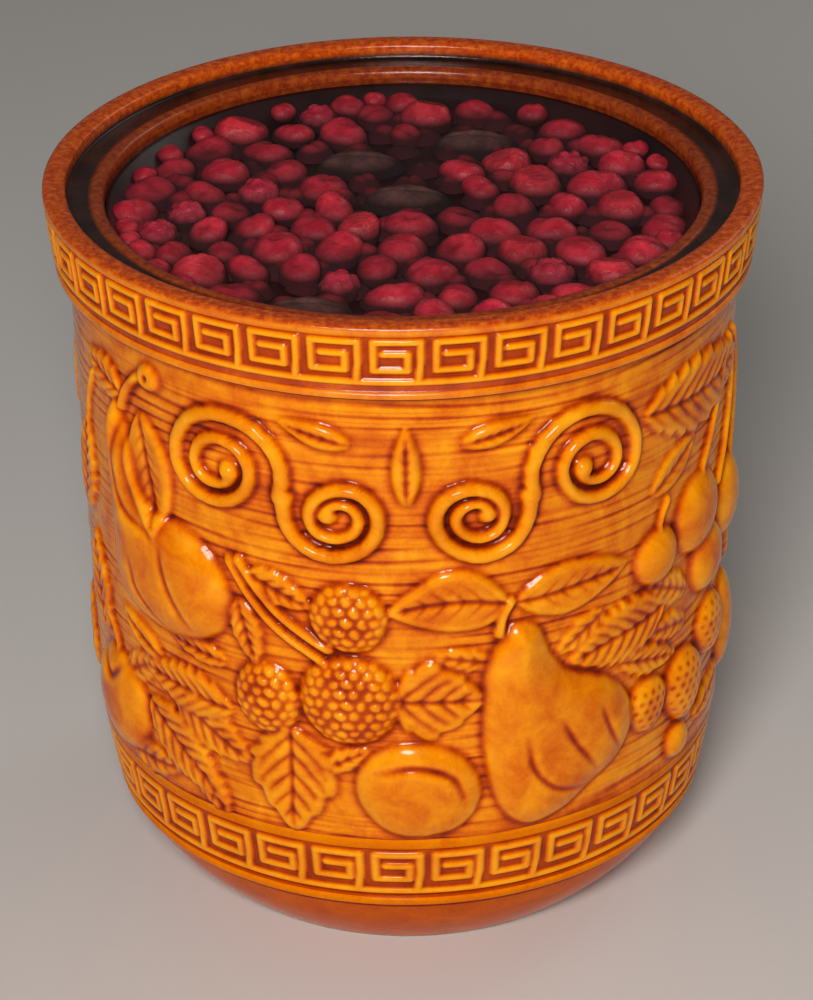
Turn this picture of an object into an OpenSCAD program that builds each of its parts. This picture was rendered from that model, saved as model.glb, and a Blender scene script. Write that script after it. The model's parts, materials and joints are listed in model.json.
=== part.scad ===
// Rumtopf pot: a glazed stoneware crock with a lid gallery, two key bands, sprigged fruit
// relief on the wall, and its filling of rum and fruit. Lengths in mm, Z up, front at -Y.

/* [Crock] */
// Height from the table to the top of the rim
pot_h = 250; // [225:1:280]
// Outer radius of the rim's top bead
rim_r = 117.5; // [114:0.5:125]
// Height of the rim band
rim_h = 26.5; // [24:0.5:30]
// How far the rim band draws in from its top to its lower edge
rim_draw = 3.0; // [1:0.25:4.5]
// Radius of the wall just under the rim band
wall_top_r = 110; // [106:0.5:111]
// Radius of the wall just over the base band
wall_low_r = 107; // [104:0.5:110]
// Thickness of the wall
wall_t = 7.5; // [5:0.25:9]
// Height of the base band
base_h = 29.5; // [27:0.5:33]
// Radius of the base band's lower edge
base_low_r = 102; // [99:0.5:104]
// Height of the drawn-in foot
foot_h = 30; // [22:0.5:36]
// Radius that stands on the table
foot_r = 78; // [70:0.5:88]
// How far the foot bulges out of a straight cone
foot_bulge = 2.2; // [0:0.2:4]
// Width of the ring that stands on the table
foot_ring_w = 11; // [7:0.5:16]
// Depth of the recess inside the foot ring
foot_recess = 2.5; // [1:0.25:4]
// Thickness of the floor over the recess
floor_t = 8; // [6:0.25:11]

/* [Lid gallery] */
// Width of the flat top of the rim
rim_top_w = 7.8; // [6:0.2:9]
// Depth of the lid's ledge below the rim
gallery_depth = 5.5; // [4:0.25:8]
// Width of the lid's ledge
ledge_w = 7.6; // [5:0.2:9]
// Width of the rounded lip inside the ledge
lip_w = 4.8; // [3.5:0.1:6]
// How far the lip stands above the ledge
lip_rise = 0.6; // [0.2:0.1:1.2]

/* [Key bands] */
// Units of the key pattern round the rim
rim_keys = 38; // [30:1:44]
// Units of the key pattern round the base
base_keys = 33; // [26:1:38]
// Stroke of the rim's key pattern
rim_stroke = 2.15; // [1.6:0.05:2.5]
// Stroke of the base's key pattern
base_stroke = 2.6; // [2:0.05:2.9]
// How far the strokes stand out of their ground
key_rise = 1.2; // [0.7:0.1:1.8]
// Share of a unit's pitch that its key fills
key_fill = 0.88; // [0.8:0.01:0.93]
// How far the plain beads stand out
bead_rise = 1.2; // [0.7:0.1:1.6]

/* [Relief] */
// How far the pears stand out of the wall
pear_rise = 7; // [4:0.5:9]
// How far round fruit stands out of the wall
fruit_rise = 5; // [3:0.25:7]
// How far the leaves stand out of the wall
leaf_rise = 1.8; // [1.2:0.1:2.6]
// Depth of a leaf's midrib groove
rib_depth = 0.9; // [0.4:0.1:1.1]
// Width of a leaf's midrib groove
rib_w = 1.2; // [0.8:0.1:1.8]
// Width of the scrolls
scroll_w = 5.2; // [4:0.1:5.6]
// How far the scrolls stand out of the wall
scroll_rise = 2.6; // [1.6:0.1:3.4]
// Radius of a stem's round section
stem_tube = 1.7; // [1.2:0.1:2.2]
// Joint between a sprig and the wall
sprig_joint = 0.15; // [0.1:0.05:0.3]

/* [Filling] */
// Depth of the liquid's surface below the rim
fill_depth = 10; // [8.5:0.25:14]
// Play between the filling and the pot
fill_play = 0.25; // [0.2:0.05:0.4]
// Distance between neighbouring fruits of the top layer
fruit_pitch = 18; // [15:0.25:24]
// Largest radius of a sour cherry
cherry_r = 10; // [7:0.25:11]
// Play between a fruit and the liquid round it
fruit_play = 0.25; // [0.2:0.05:0.4]
// How far a fruit's top breaks the surface
fruit_lift = 0.8; // [0.3:0.1:1.4]
// Half length of a plum in the filling
plum_half = 17; // [13:0.5:20]

/* [Hidden] */
$fn = 64;

foot_edge = 1.2;
rim_z = pot_h - rim_h;
wall_z = foot_h + base_h;
wall_h = rim_z - wall_z;
rim_low_r = rim_r - rim_draw;
gallery_r = rim_r - rim_top_w;
ledge_z = pot_h - gallery_depth;
ledge_r = gallery_r - ledge_w;
throat_r = ledge_r - lip_w;
lip_r = lip_w / 2;
lip_z = ledge_z + lip_rise - lip_r;
corner = lip_rise + 0.3;
floor_z = foot_recess + floor_t;
well_top_r = wall_top_r - wall_t;
well_low_r = base_ground(wall_z) - wall_t;
knee_r = base_ground(foot_h) - wall_t;
knee_z = foot_h + 2;
throat_low_z = ledge_z - 14;
well_top_z = throat_low_z - 12;
floor_r = min(foot_r - 8, knee_r - 8);
bead_w = 3.2;
edge_r = 1.4;

// The relief is laid out on a wall 164 mm high, and this is its scale on this pot
k = min(wall_h / 164, wall_low_r / 107);

function wall_at(z) = wall_low_r + (wall_top_r - wall_low_r) * (z - wall_z) / wall_h;
function up(v) = wall_z + v * wall_h / 164;

// Section of the crock

foot_steps = 8;
foot_curve = [for (i = [1 : foot_steps]) let (t = i / foot_steps)
    [foot_r + (base_low_r - 1.2 - foot_r) * t + foot_bulge * sin(180 * t),
     foot_edge + (foot_h - foot_edge) * t]];

floor_steps = 8;
floor_curve = [for (i = [0 : floor_steps]) let (t = 90 * i / floor_steps)
    [floor_r + (knee_r - floor_r) * sin(t), knee_z - (knee_z - floor_z) * cos(t)]];
well_side = [[well_low_r, wall_z], [well_top_r, well_top_z]];

module bead(r, z, rise = bead_rise) {
    bead_r = (bead_w * bead_w / 4 + rise * rise) / (2 * rise);
    translate([r + rise - bead_r, z]) circle(r = bead_r);
}

module crock_outside() {
    polygon(concat(
        [[0, 0], [foot_r - foot_edge, 0], [foot_r, foot_edge]],
        foot_curve,
        [[base_ground(foot_h), foot_h], [base_ground(wall_z - 1), wall_z - 1], [wall_low_r, wall_z],
         [wall_top_r, rim_z], [rim_low_r - key_rise, rim_z], [rim_r - key_rise, pot_h - bead_w / 2],
         [rim_r - edge_r, pot_h], [0, pot_h]]));
    bead(base_ground(foot_h + bead_w / 2), foot_h + bead_w / 2);
    bead(base_ground(wall_z - 2.6), wall_z - 2.6);
    bead(rim_ground(rim_z + bead_w / 2), rim_z + bead_w / 2);
    bead(rim_ground(pot_h - bead_w / 2), pot_h - bead_w / 2);
}

module crock_cavity() {
    polygon(concat(
        [[0, floor_z]],
        floor_curve,
        well_side,
        [[throat_r, throat_low_z], [throat_r, lip_z],
         [throat_r + lip_r, lip_z], [throat_r + lip_r, ledge_z], [gallery_r - corner, ledge_z],
         [gallery_r, ledge_z + corner], [gallery_r, pot_h - edge_r], [gallery_r + edge_r, pot_h], [gallery_r + edge_r, pot_h + 1],
         [0, pot_h + 1]]));
}

module crock() {
    color("#c8791b")
    rotate_extrude($fn = 180) {
        difference() {
            intersection() {
                crock_outside();
                square([rim_r + 10, pot_h]);
            }
            crock_cavity();
            polygon([[0, -1], [foot_r - foot_ring_w + 1, -1], [foot_r - foot_ring_w, 0],
                     [foot_r - foot_ring_w - 2, foot_recess], [0, foot_recess]]);
        }
        translate([throat_r + lip_r, lip_z]) circle(r = lip_r);
    }
}

// Key bands: a rail and one key per unit, standing on the band's ground

function rim_ground(z) =
    rim_low_r - key_rise + rim_draw * (z - rim_z) / (rim_h - bead_w / 2);
function base_ground(z) =
    base_low_r - key_rise + (wall_low_r - base_low_r) * (z - foot_h) / base_h;

function key_outline(w, h, s) =
    let (bar = 0.87 * s, inner = 0.76 * w, foot = 0.17 * h, mid = 0.69 * h)
    [[w - 0.85 * s, -0.6], [w - 0.3 * s, -0.6], [w, 0.4 * h], [w, h], [0, h], [0, foot],
     [inner, foot], [inner, mid], [0.23 * w, mid], [0.23 * w, mid - bar],
     [inner - s, mid - bar], [inner - s, foot + bar], [s, foot + bar], [s, h - bar],
     [w - s, h - bar], [w - s, 0.4 * h]];

module key_band(z0, z1, low_r, high_r, units, stroke, phase) {
    pitch = 360 / units;
    w = key_fill * 2 * PI * low_r / units;
    h = z1 - z0;
    intersection() {
        for (i = [0 : units - 1])
            rotate([0, 0, phase + i * pitch])
            translate([-w / 2, -low_r + 8, z0])
            rotate([90, 0, 0])
            linear_extrude(height = 20)
            polygon(key_outline(w, h, stroke));
        difference() {
            translate([0, 0, z0 - key_run])
            cylinder(h = h + 2 * key_run, r1 = low_r + key_rise, r2 = high_r + key_rise, $fn = 180);
            translate([0, 0, z0 - key_run])
            cylinder(h = h + 2 * key_run, r1 = low_r + sprig_joint, r2 = high_r + sprig_joint, $fn = 180);
        }
    }
}

module rail(z, r) {
    rail_w = 2.6;
    rotate_extrude($fn = 180)
    intersection() {
        bead(r, z, key_rise);
        translate([r + sprig_joint, z - rail_w / 2]) square([key_rise * 2, rail_w]);
    }
}

rim_rail_z = rim_z + 6.8;
base_rail_z = foot_h + 6.6;

// The cones that bound the keys run past them by this much
key_run = 3;

module rim_key_band() {
    low = rim_rail_z + 1;
    high = pot_h - bead_w - 1.5;
    color("#e39a2c") {
        key_band(low, high, rim_ground(low - key_run), rim_ground(high + key_run), rim_keys, rim_stroke, -1.1);
        rail(rim_rail_z, rim_ground(rim_rail_z) + 0.05);
    }
}

module base_key_band() {
    low = base_rail_z + 1;
    high = wall_z - 6;
    color("#e39a2c") {
        key_band(low, high, base_ground(low - key_run), base_ground(high + key_run), base_keys, base_stroke, -2.0);
        rail(base_rail_z, base_ground(base_rail_z) + 0.05);
    }
}

// Sprigs: each stands on the wall, on the front and again on the back

module on_wall(a, z, turn = 0) {
    rotate([0, 0, a])
    translate([0, -wall_at(z), z])
    rotate([90, 0, 0])
    rotate([0, 0, turn])
    children();
}

module wall_core() {
    translate([0, 0, wall_z - 20])
    cylinder(h = wall_h + 40, r1 = wall_at(wall_z - 20) + sprig_joint,
             r2 = wall_at(rim_z + 20) + sprig_joint, $fn = 180);
}

module sprigs() {
    for (side = [0, 180])
        rotate([0, 0, side])
        difference() {
            children();
            wall_core();
        }
}

// A round fruit is the cap of a sphere that is sunk into the wall
module cap(a, z, r, rise) {
    ball = (r * r + rise * rise) / (2 * rise);
    on_wall(a, z) translate([0, 0, rise - ball]) sphere(r = ball);
}

// A long fruit is turned from half an oval and flattened onto the wall
module egg(a, z, half_w, half_h, rise, turn = 0) {
    steps = 14;
    on_wall(a, z, turn)
    scale([1, 1, rise / half_w])
    rotate([-90, 0, 0])
    rotate_extrude()
    polygon([for (i = [0 : steps]) [half_w * sin(180 * i / steps), -half_h * cos(180 * i / steps)]]);
}

function leaf_half(t, w) = w / 2 * pow(sin(180 * pow(t, 0.8)), 0.85);

function leaf_edge(l, w, teeth, bend, side) =
    [for (i = [1 : 2 * teeth - 1]) let (t = i / (2 * teeth), tooth = (i % 2 == 1) ? 0.09 * w : 0)
        [side * (leaf_half(t, w) + tooth) + bend * sin(180 * t), l * (t - 0.5) - tooth * 0.4]];

function reversed(p) = [for (i = [len(p) - 1 : -1 : 0]) p[i]];

function leaf_outline(l, w, teeth, bend) =
    concat([[0, -l / 2]], leaf_edge(l, w, teeth, bend, 1), [[0, l / 2]],
           reversed(leaf_edge(l, w, teeth, bend, -1)));

function rib_outline(l, bend) =
    let (n = 6)
    concat([for (i = [0 : n]) let (t = i / n) [rib_w / 2 * (1 - 0.7 * t) + bend * sin(180 * t), l * 0.86 * (t - 0.5)]],
           [for (i = [n : -1 : 0]) let (t = i / n) [-rib_w / 2 * (1 - 0.7 * t) + bend * sin(180 * t), l * 0.86 * (t - 0.5)]]);

module wall_layer(rise) {
    translate([0, 0, wall_z - 10])
    cylinder(h = wall_h + 20, r1 = wall_at(wall_z - 10) + rise, r2 = wall_at(rim_z + 10) + rise, $fn = 180);
}

module leaf_groove(l, bend) {
    translate([0, 0, -12]) linear_extrude(height = 24) polygon(rib_outline(l, bend));
}

// A leaf is cut out of a layer of the wall's own curve, with a groove for its midrib
module leaf(a, z, turn, l, w, teeth, bend = 0) {
    difference() {
        intersection() {
            on_wall(a, z, turn)
            translate([0, 0, -12])
            linear_extrude(height = 24)
            polygon(leaf_outline(l * k, w * k, teeth, bend * k));
            wall_layer(leaf_rise);
        }
        difference() {
            on_wall(a, z, turn) leaf_groove(l * k, bend * k);
            wall_layer(leaf_rise - rib_depth);
        }
    }
}

// A pear is turned from its outline and flattened onto the wall
module pear(a, z, turn, l, r, rise) {
    shares = [[0, 0], [0.02, 0.36], [0.07, 0.66], [0.14, 0.86], [0.22, 0.97], [0.30, 1.0],
              [0.38, 0.96], [0.48, 0.82], [0.58, 0.62], [0.68, 0.45], [0.80, 0.33], [0.92, 0.26],
              [0.98, 0.17], [1, 0]];
    on_wall(a, z, turn)
    scale([1, 1, rise / r])
    rotate([-90, 0, 0])
    rotate_extrude()
    polygon([for (s = shares) [s[1] * r, s[0] * l]]);
}

module arc_stem(a, z, turn, r, sweep, tube) {
    on_wall(a, z, turn)
    rotate_extrude(angle = sweep)
    translate([r, 0])
    circle(r = tube, $fn = 24);
}

module long_pear_sprig() {
    color("#dc8f25")
    sprigs() {
        pear(-44.5, up(62), 17, 77 * k, 26 * k, pear_rise);
        leaf(-48.5, up(116), -162, 42, 20, 7);
        leaf(-61, up(145), 72, 20, 11, 4);
        cap(-47, up(153), 5 * k, 2);
    }
}

module pear_sprig() {
    color("#dc8f25")
    sprigs() {
        pear(30, up(3), 18.5, 80 * k, 25 * k, pear_rise);
        leaf(7, up(85.5), 93, 36, 21, 6, 3);
        leaf(29.8, up(87.5), -87, 41, 19, 7, 0);
        leaf(38.5, up(62), 101, 40, 18, 8);
        leaf(46.5, up(48.5), -105, 27, 8, 5);
    }
}

module bramble_sprig() {
    color("#dc8f25")
    sprigs() {
        cap(-10, up(83), 12.5 * k, fruit_rise);
        cap(-24.8, up(49), 12 * k, fruit_rise);
        cap(-10, up(52.5), 16.5 * k, fruit_rise + 1);
        leaf(-27.8, up(72), -165, 22, 9, 5);
        leaf(-21.5, up(92), -110, 22, 8, 4);
        leaf(-20.3, up(19), 180, 35, 25, 8);
        leaf(5.2, up(53), -90, 25, 20, 6);
        arc_stem(-10.5, up(94), 185, 32 * k, 62, stem_tube);
    }
}

module plum_sprig() {
    color("#dc8f25")
    sprigs()
        egg(1, up(19.5), 20.5 * k, 17.5 * k, fruit_rise + 1, -18);
}

module apple_sprig() {
    color("#dc8f25")
    sprigs() {
        cap(-62.5, up(22), 18.5 * k, fruit_rise + 0.5);
        leaf(-42.7, up(43), 85, 40, 15, 8);
        leaf(-41.5, up(16.5), -128, 40, 18, 8);
    }
}

module cherry_sprig() {
    color("#dc8f25")
    sprigs() {
        cap(47.3, up(86), 10 * k, fruit_rise);
        cap(60, up(92), 14.5 * k, fruit_rise + 0.5);
        cap(64.5, up(70), 12 * k, fruit_rise + 0.5);
        cap(76, up(86), 12 * k, fruit_rise + 0.5);
        arc_stem(79.5, up(106), 140, 29 * k, 50, stem_tube);
        arc_stem(83.5, up(104), 135, 31 * k, 52, stem_tube);
    }
}

module strawberry_sprig() {
    color("#dc8f25")
    sprigs() {
        cap(46.2, up(31), 8.5 * k, fruit_rise);
        egg(57, up(29.5), 10.5 * k, 13 * k, fruit_rise + 1);
        cap(68, up(42.5), 9.8 * k, fruit_rise);
        cap(56, up(8.6), 6.5 * k, fruit_rise - 1);
    }
}

module cucumber_sprig() {
    color("#dc8f25")
    sprigs()
        egg(78.5, up(33), 9 * k, 21 * k, fruit_rise, 6);
}

module vine_leaf_sprig() {
    color("#dc8f25")
    sprigs()
        leaf(61, up(139), -92, 66, 26, 9, 2);
}

// Scroll ornament: pairs of volutes in S shape on either side of a palmette

function volute_r(r, i) = r * pow(0.72, i);
function volute_x(r, i) =
    i == 0 ? 0 : volute_x(r, i - 1) + (i % 2 == 1 ? -1 : 1) * (volute_r(r, i - 1) - volute_r(r, i));

module half_ring(r, w) {
    intersection() {
        difference() {
            circle(r = r + w / 2);
            circle(r = r - w / 2);
        }
        translate([-2 * r, 0]) square([4 * r, 2 * r]);
    }
}

module volute(r) {
    halves = 4;
    translate([0, 0, -12])
    linear_extrude(height = 24) {
        for (i = [0 : halves - 1])
            translate([volute_x(r, i), 0])
            mirror([0, i % 2])
            half_ring(volute_r(r, i), scroll_w);
        translate([volute_x(r, halves) - (halves % 2 == 0 ? -1 : 1) * volute_r(r, halves), 0])
        circle(r = scroll_w * 0.62);
    }
}

module scroll_pair() {
    on_wall(-30.8, up(131), -18) volute(19.5 * k);
    on_wall(-12.5, up(121), 162) volute(15 * k);
}

module scroll_ornament() {
    color("#eda23a")
    sprigs() {
        intersection() {
            union() {
                scroll_pair();
                mirror([1, 0, 0]) scroll_pair();
            }
            wall_layer(scroll_rise);
        }
        leaf(0, up(139), 0, 28, 8, 4);
        leaf(-15, up(149), 76, 24, 8, 4);
        leaf(15, up(149), -76, 24, 8, 4);
    }
}

// Filling: the liquid with one layer of fruit afloat in it

fill_z = pot_h - fill_depth;
fill_r = throat_r - fill_play;
layer_z = fill_z - 2 * cherry_r - 3;
jitter = 2.6;

// Places of the plums, by angle and distance from the axis, with the turn of each
plum_spots = [[110, 0.48, 2], [66, 0.70, -8], [84, 0.12, 12], [248, 0.92, -4]];
plum_thick = 0.56;

function polar(a, r) = [r * cos(a), r * sin(a)];
function plum_centre(i) = polar(plum_spots[i][0], plum_spots[i][1] * (fill_r - cherry_r));

rows = ceil(fill_r / (fruit_pitch * 0.87));
lattice = [for (j = [-rows : rows]) for (i = [-rows - 1 : rows + 1])
    let (s = rands(-jitter, jitter, 2, 1000 + 60 * j + i))
    [(i + (j % 2 == 0 ? 0 : 0.5)) * fruit_pitch + s[0], j * fruit_pitch * 0.87 + s[1]]];

// Least distance from a point to a plum's outline
plum_b = plum_half * plum_thick;
function plum_gap(p) = min([for (i = [0 : len(plum_spots) - 1])
    let (d = p - plum_centre(i), t = plum_spots[i][2],
         u = d[0] * cos(t) + d[1] * sin(t), v = -d[0] * sin(t) + d[1] * cos(t))
    norm([max(abs(u) - (plum_half - plum_b), 0), v]) - plum_b]);

// The fruits start on a shaken lattice, each with its own size, and then push each other apart
least_r = 6.4;
start = [for (p = lattice) if (norm(p) < fill_r - least_r && plum_gap(p) > least_r * 0.4) p];
wanted = [for (n = [0 : len(start) - 1])
    least_r + (cherry_r - least_r) * pow(rands(0, 1, 1, 300 + n)[0], 0.6)];

function total(list) = len(list) == 0 ? [0, 0] : [for (v = list) 1] * list;
function pushed(p, from, need) =
    let (d = p - from, gap = norm(d)) gap < need ? d / max(gap, 0.1) * (need - gap) / 2 : [0, 0];
function kept_in(p, r) =
    let (most = fill_r - r - fruit_play - 0.4, far = norm(p)) far > most ? p * most / far : p;
function clear_of_plums(p, r) =
    let (gap = plum_gap(p), need = r + fruit_play + 0.5, step = 0.5,
         slope = [plum_gap(p + [step, 0]) - gap, plum_gap(p + [0, step]) - gap])
    gap < need ? p + slope / max(norm(slope), 0.01) * (need - gap) * 0.7 : p;
function settled(pts, rounds) = rounds == 0 ? pts :
    settled([for (n = [0 : len(pts) - 1])
        let (moves = [for (m = [0 : len(pts) - 1])
                 if (m != n && norm(pts[m] - pts[n]) < 2 * cherry_r + 1)
                 pushed(pts[n], pts[m], wanted[n] + wanted[m] + 2 * fruit_play + 0.2)])
        kept_in(clear_of_plums(pts[n] + total(moves) * 0.8, wanted[n]), wanted[n])], rounds - 1);

settle_rounds = 30;
all_spots = settled(start, settle_rounds);

// What a fruit gets of the room between it and its neighbours
function room(pts, n) = min([for (m = [0 : len(pts) - 1]) if (m != n)
    norm(pts[m] - pts[n]) * wanted[n] / (wanted[n] + wanted[m])]);
function fruit_r(n) = min(wanted[n], room(all_spots, n) - fruit_play - 0.1,
    fill_r - norm(all_spots[n]) - fruit_play - 0.3,
    plum_gap(all_spots[n]) - fruit_play - 0.3);
all_r = [for (n = [0 : len(all_spots) - 1]) fruit_r(n)];
fruit_floor = 4.5;
spots = [for (n = [0 : len(all_spots) - 1]) if (all_r[n] > fruit_floor) all_spots[n]];
spot_rs = [for (r = all_r) if (r > fruit_floor) r];
function spot_r(n) = spot_rs[n];

// Every seventh fruit is a strawberry piece and every eleventh a raspberry
function kind(n) = n % 11 == 5 ? 2 : n % 7 == 3 ? 1 : 0;
function lift(n) = fruit_lift * (0.4 + 0.6 * rands(0, 1, 1, 77 + n)[0]);

module at_spot(n) {
    translate([spots[n][0], spots[n][1], fill_z + lift(n) - spot_r(n)]) children();
}

module rum() {
    color("#3a0a12") {
        rotate_extrude($fn = 180)
        polygon(concat(
            [[0, floor_z + fill_play]],
            [for (p = floor_curve) [p[0] - fill_play, p[1] + fill_play]],
            [for (p = well_side) [p[0] - fill_play, p[1] - fill_play]],
            [[fill_r, min(layer_z, throat_low_z - 1)],
             [fill_r, layer_z], [0, layer_z]]));
        translate([0, 0, layer_z])
        linear_extrude(height = fill_z - layer_z)
        difference() {
            circle(r = fill_r, $fn = 180);
            for (n = [0 : len(spots) - 1])
                translate(spots[n]) circle(r = spot_r(n) + fruit_play, $fn = 36);
            for (i = [0 : len(plum_spots) - 1])
                translate(plum_centre(i)) rotate(plum_spots[i][2])
                scale([plum_half + fruit_play, plum_half * plum_thick + fruit_play])
                circle(r = 1, $fn = 48);
        }
    }
}

module sour_cherries() {
    color("#8f1024")
    for (n = [0 : len(spots) - 1])
        if (kind(n) == 0)
            at_spot(n) sphere(r = spot_r(n), $fn = 32);
}

module strawberry_pieces() {
    color("#a81a26")
    for (n = [0 : len(spots) - 1])
        if (kind(n) == 1)
            at_spot(n)
            intersection() {
                sphere(r = spot_r(n), $fn = 32);
                rotate([8, 14, 40 * n]) translate([-20, -20, -spot_r(n) * 0.55]) cube([40, 40, 40]);
            }
}

module raspberries() {
    color("#b01c38")
    for (n = [0 : len(spots) - 1])
        if (kind(n) == 2)
            at_spot(n)
            difference() {
                sphere(r = spot_r(n), $fn = 32);
                translate([0, 0, -spot_r(n) - 1]) cylinder(h = spot_r(n), r = spot_r(n) * 0.35, $fn = 24);
            }
}

module plums() {
    color("#1d0710")
    for (i = [0 : len(plum_spots) - 1])
        translate([plum_centre(i)[0], plum_centre(i)[1], fill_z + 0.4 - plum_half * plum_thick])
        rotate([0, 0, plum_spots[i][2]])
        scale([plum_half, plum_half * plum_thick, plum_half * plum_thick])
        sphere(r = 1, $fn = 40);
}

crock();
rim_key_band();
base_key_band();
scroll_ornament();
long_pear_sprig();
pear_sprig();
bramble_sprig();
plum_sprig();
apple_sprig();
cherry_sprig();
strawberry_sprig();
cucumber_sprig();
vine_leaf_sprig();
rum();
sour_cherries();
strawberry_pieces();
raspberries();
plums();
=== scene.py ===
# %% [markdown]
# # A rumtopf pot, dressed for the camera
# The pot is a thick stoneware crock. Fruit, leaves and scrolls stand out of its wall in low relief,
# two bands of Greek keys run round the rim and the base, and honey-coloured glaze runs off every
# edge and gathers dark in the hollows. Inside, sour cherries and other fruit lie in dark rum.
# The CAD model gives the sizes. Each cell below makes one surface of it as a finer mesh, in metres.

# %% Tools, the CAD frame and its box
import json
import math

import bmesh
import bpy
import numpy as np
from mathutils import Matrix, Vector

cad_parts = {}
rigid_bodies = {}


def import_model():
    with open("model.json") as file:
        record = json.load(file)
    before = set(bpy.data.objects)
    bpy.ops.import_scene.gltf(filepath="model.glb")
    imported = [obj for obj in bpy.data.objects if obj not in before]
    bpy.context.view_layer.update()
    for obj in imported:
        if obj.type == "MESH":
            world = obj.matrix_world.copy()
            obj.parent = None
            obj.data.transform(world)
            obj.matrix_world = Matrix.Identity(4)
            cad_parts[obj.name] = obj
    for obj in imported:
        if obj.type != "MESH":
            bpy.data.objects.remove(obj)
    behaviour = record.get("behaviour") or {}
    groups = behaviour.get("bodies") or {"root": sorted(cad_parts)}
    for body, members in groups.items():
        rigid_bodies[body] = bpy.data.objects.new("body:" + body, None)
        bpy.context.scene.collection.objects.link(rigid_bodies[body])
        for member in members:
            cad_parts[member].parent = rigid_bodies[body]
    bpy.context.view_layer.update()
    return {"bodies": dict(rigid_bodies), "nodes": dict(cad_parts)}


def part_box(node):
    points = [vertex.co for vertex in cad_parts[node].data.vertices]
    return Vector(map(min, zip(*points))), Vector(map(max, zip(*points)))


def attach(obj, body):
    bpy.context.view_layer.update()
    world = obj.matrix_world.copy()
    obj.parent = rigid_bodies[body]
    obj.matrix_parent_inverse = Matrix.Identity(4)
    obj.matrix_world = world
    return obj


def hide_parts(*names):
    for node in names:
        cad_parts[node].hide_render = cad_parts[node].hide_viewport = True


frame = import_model()
mm = 0.001
print("CAD nodes:", len(frame["nodes"]))

# %% [markdown]
# ## Main sizes
# A turned pot is a handful of heights and radii. They are the ones of the CAD model, in millimetres,
# so that every finer mesh lies where its solid lies. Angles are counted from the middle of the front,
# to the right as seen from there.

# %% Heights and radii of the crock
pot_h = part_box("crock")[1].z / mm
rim_r = 117.5
rim_z = 223.5
wall_z = 59.5
wall_top_r = 110.0
wall_low_r = 107.0
foot_z = 30.0
foot_r = 78.0
base_low_r = 102.0
ledge_z = 244.5
gallery_r = 109.7
ledge_r = 102.1
throat_r = 97.3
rum_z = 241.2
layout_r = 108.5
rim_band_r, rim_band_flare, rim_band_h = 113.3, 3.0, 24.9
base_band_r, base_band_flare, base_band_h = 100.8, 5.0, 29.5


def wall_radius(z):
    return wall_low_r + (wall_top_r - wall_low_r) * (z - wall_z) / (rim_z - wall_z)


def rim_ground(z):
    return rim_band_r + rim_band_flare * (z - rim_z) / rim_band_h


def base_ground(z):
    return base_band_r + base_band_flare * (z - foot_z) / base_band_h


# %% [markdown]
# ## Helpers for meshes
# Most of this pot is a skin of square faces over rows and columns of points. One helper links the
# points of such a grid, two more close it with a plain back or with a pole at each end, and one turns
# points and faces into a mesh. It also writes values for the points, which a material reads by name.

# %% Grids, meshes and point values
far = 1e9


def quads(rows, cols, wrap=False):
    """Faces of a grid whose points are counted row by row; wrap joins the last column to the first."""
    last = cols if wrap else cols - 1
    r, c = np.meshgrid(np.arange(rows - 1), np.arange(last), indexing="ij")
    right = (c + 1) % cols
    face = np.stack([r * cols + c, r * cols + right, (r + 1) * cols + right, (r + 1) * cols + c], -1)
    return face.reshape(-1, 4)


def backed(rows, count):
    """Faces of a grid and its plain back, whose low and high rows of points come after the grid's."""
    faces = [tuple(f) for f in quads(rows, count)]
    low = rows * count
    high, top = low + count, low - count
    for i in range(count - 1):
        faces.append((low + i, low + i + 1, i + 1, i))
        faces.append((top + i, top + i + 1, high + i + 1, high + i))
        faces.append((high + i, high + i + 1, low + i + 1, low + i))
    return faces


def capped(rows, count):
    """Faces of closed rings that end in two poles, whose points come after the rings'."""
    faces = [tuple(f) for f in quads(rows, count, wrap=True)]
    low = rows * count
    high, top = low + 1, low - count
    for i in range(count):
        j = (i + 1) % count
        faces.append((low, j, i))
        faces.append((high, top + i, top + j))
    return faces


def smooth_faces(mesh):
    mesh.polygons.foreach_set("use_smooth", [True] * len(mesh.polygons))


def scene_object(name, data):
    """An object in the scene for this mesh, lamp or camera."""
    obj = bpy.data.objects.new(name, data)
    bpy.context.scene.collection.objects.link(obj)
    return obj


def tell(*pieces):
    for piece in pieces:
        print(piece.name, len(piece.data.polygons), "faces")


def mesh_object(name, points, faces, values=None):
    """A mesh in metres from points in millimetres, with smooth faces that look outwards."""
    mesh = bpy.data.meshes.new(name)
    mesh.from_pydata((np.asarray(points, float) * mm).tolist(), [], [list(map(int, f)) for f in faces])
    mesh.update()
    smooth_faces(mesh)
    for key, value in (values or {}).items():
        mesh.attributes.new(key, "FLOAT", "POINT").data.foreach_set("value", np.asarray(value, np.float32))
    return scene_object(name, mesh)


def around(angle, radius, z):
    """Points at these angles in degrees from the front, radii and heights."""
    a = np.radians(angle)
    return np.stack([radius * np.sin(a), -radius * np.cos(a), z + 0 * a], -1)


def soften(field, sigma_rows, sigma_cols):
    """A field that repeats along its columns, blurred; its first and last rows go on past the edge."""
    pad = int(4 * sigma_rows) + 2
    tall = np.concatenate([np.repeat(field[:1], pad, 0), field, np.repeat(field[-1:], pad, 0)])
    fr = np.fft.fftfreq(tall.shape[0])[:, None]
    fc = np.fft.fftfreq(tall.shape[1])[None, :]
    keep = np.exp(-2 * (np.pi * fr * sigma_rows) ** 2 - 2 * (np.pi * fc * sigma_cols) ** 2)
    return np.real(np.fft.ifft2(np.fft.fft2(tall) * keep))[pad:-pad]


# %% [markdown]
# ## The relief as a height map
# The real relief was carved in a plaster mould and pressed or cast with the wall. Here it is a height
# in millimetres over each point of the wall. Each motif is a small function of the distance to its
# outline or to its middle line, and where two motifs meet, the higher one wins. The grid covers half
# the pot, because each half of the mould carries the same fruit.

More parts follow.
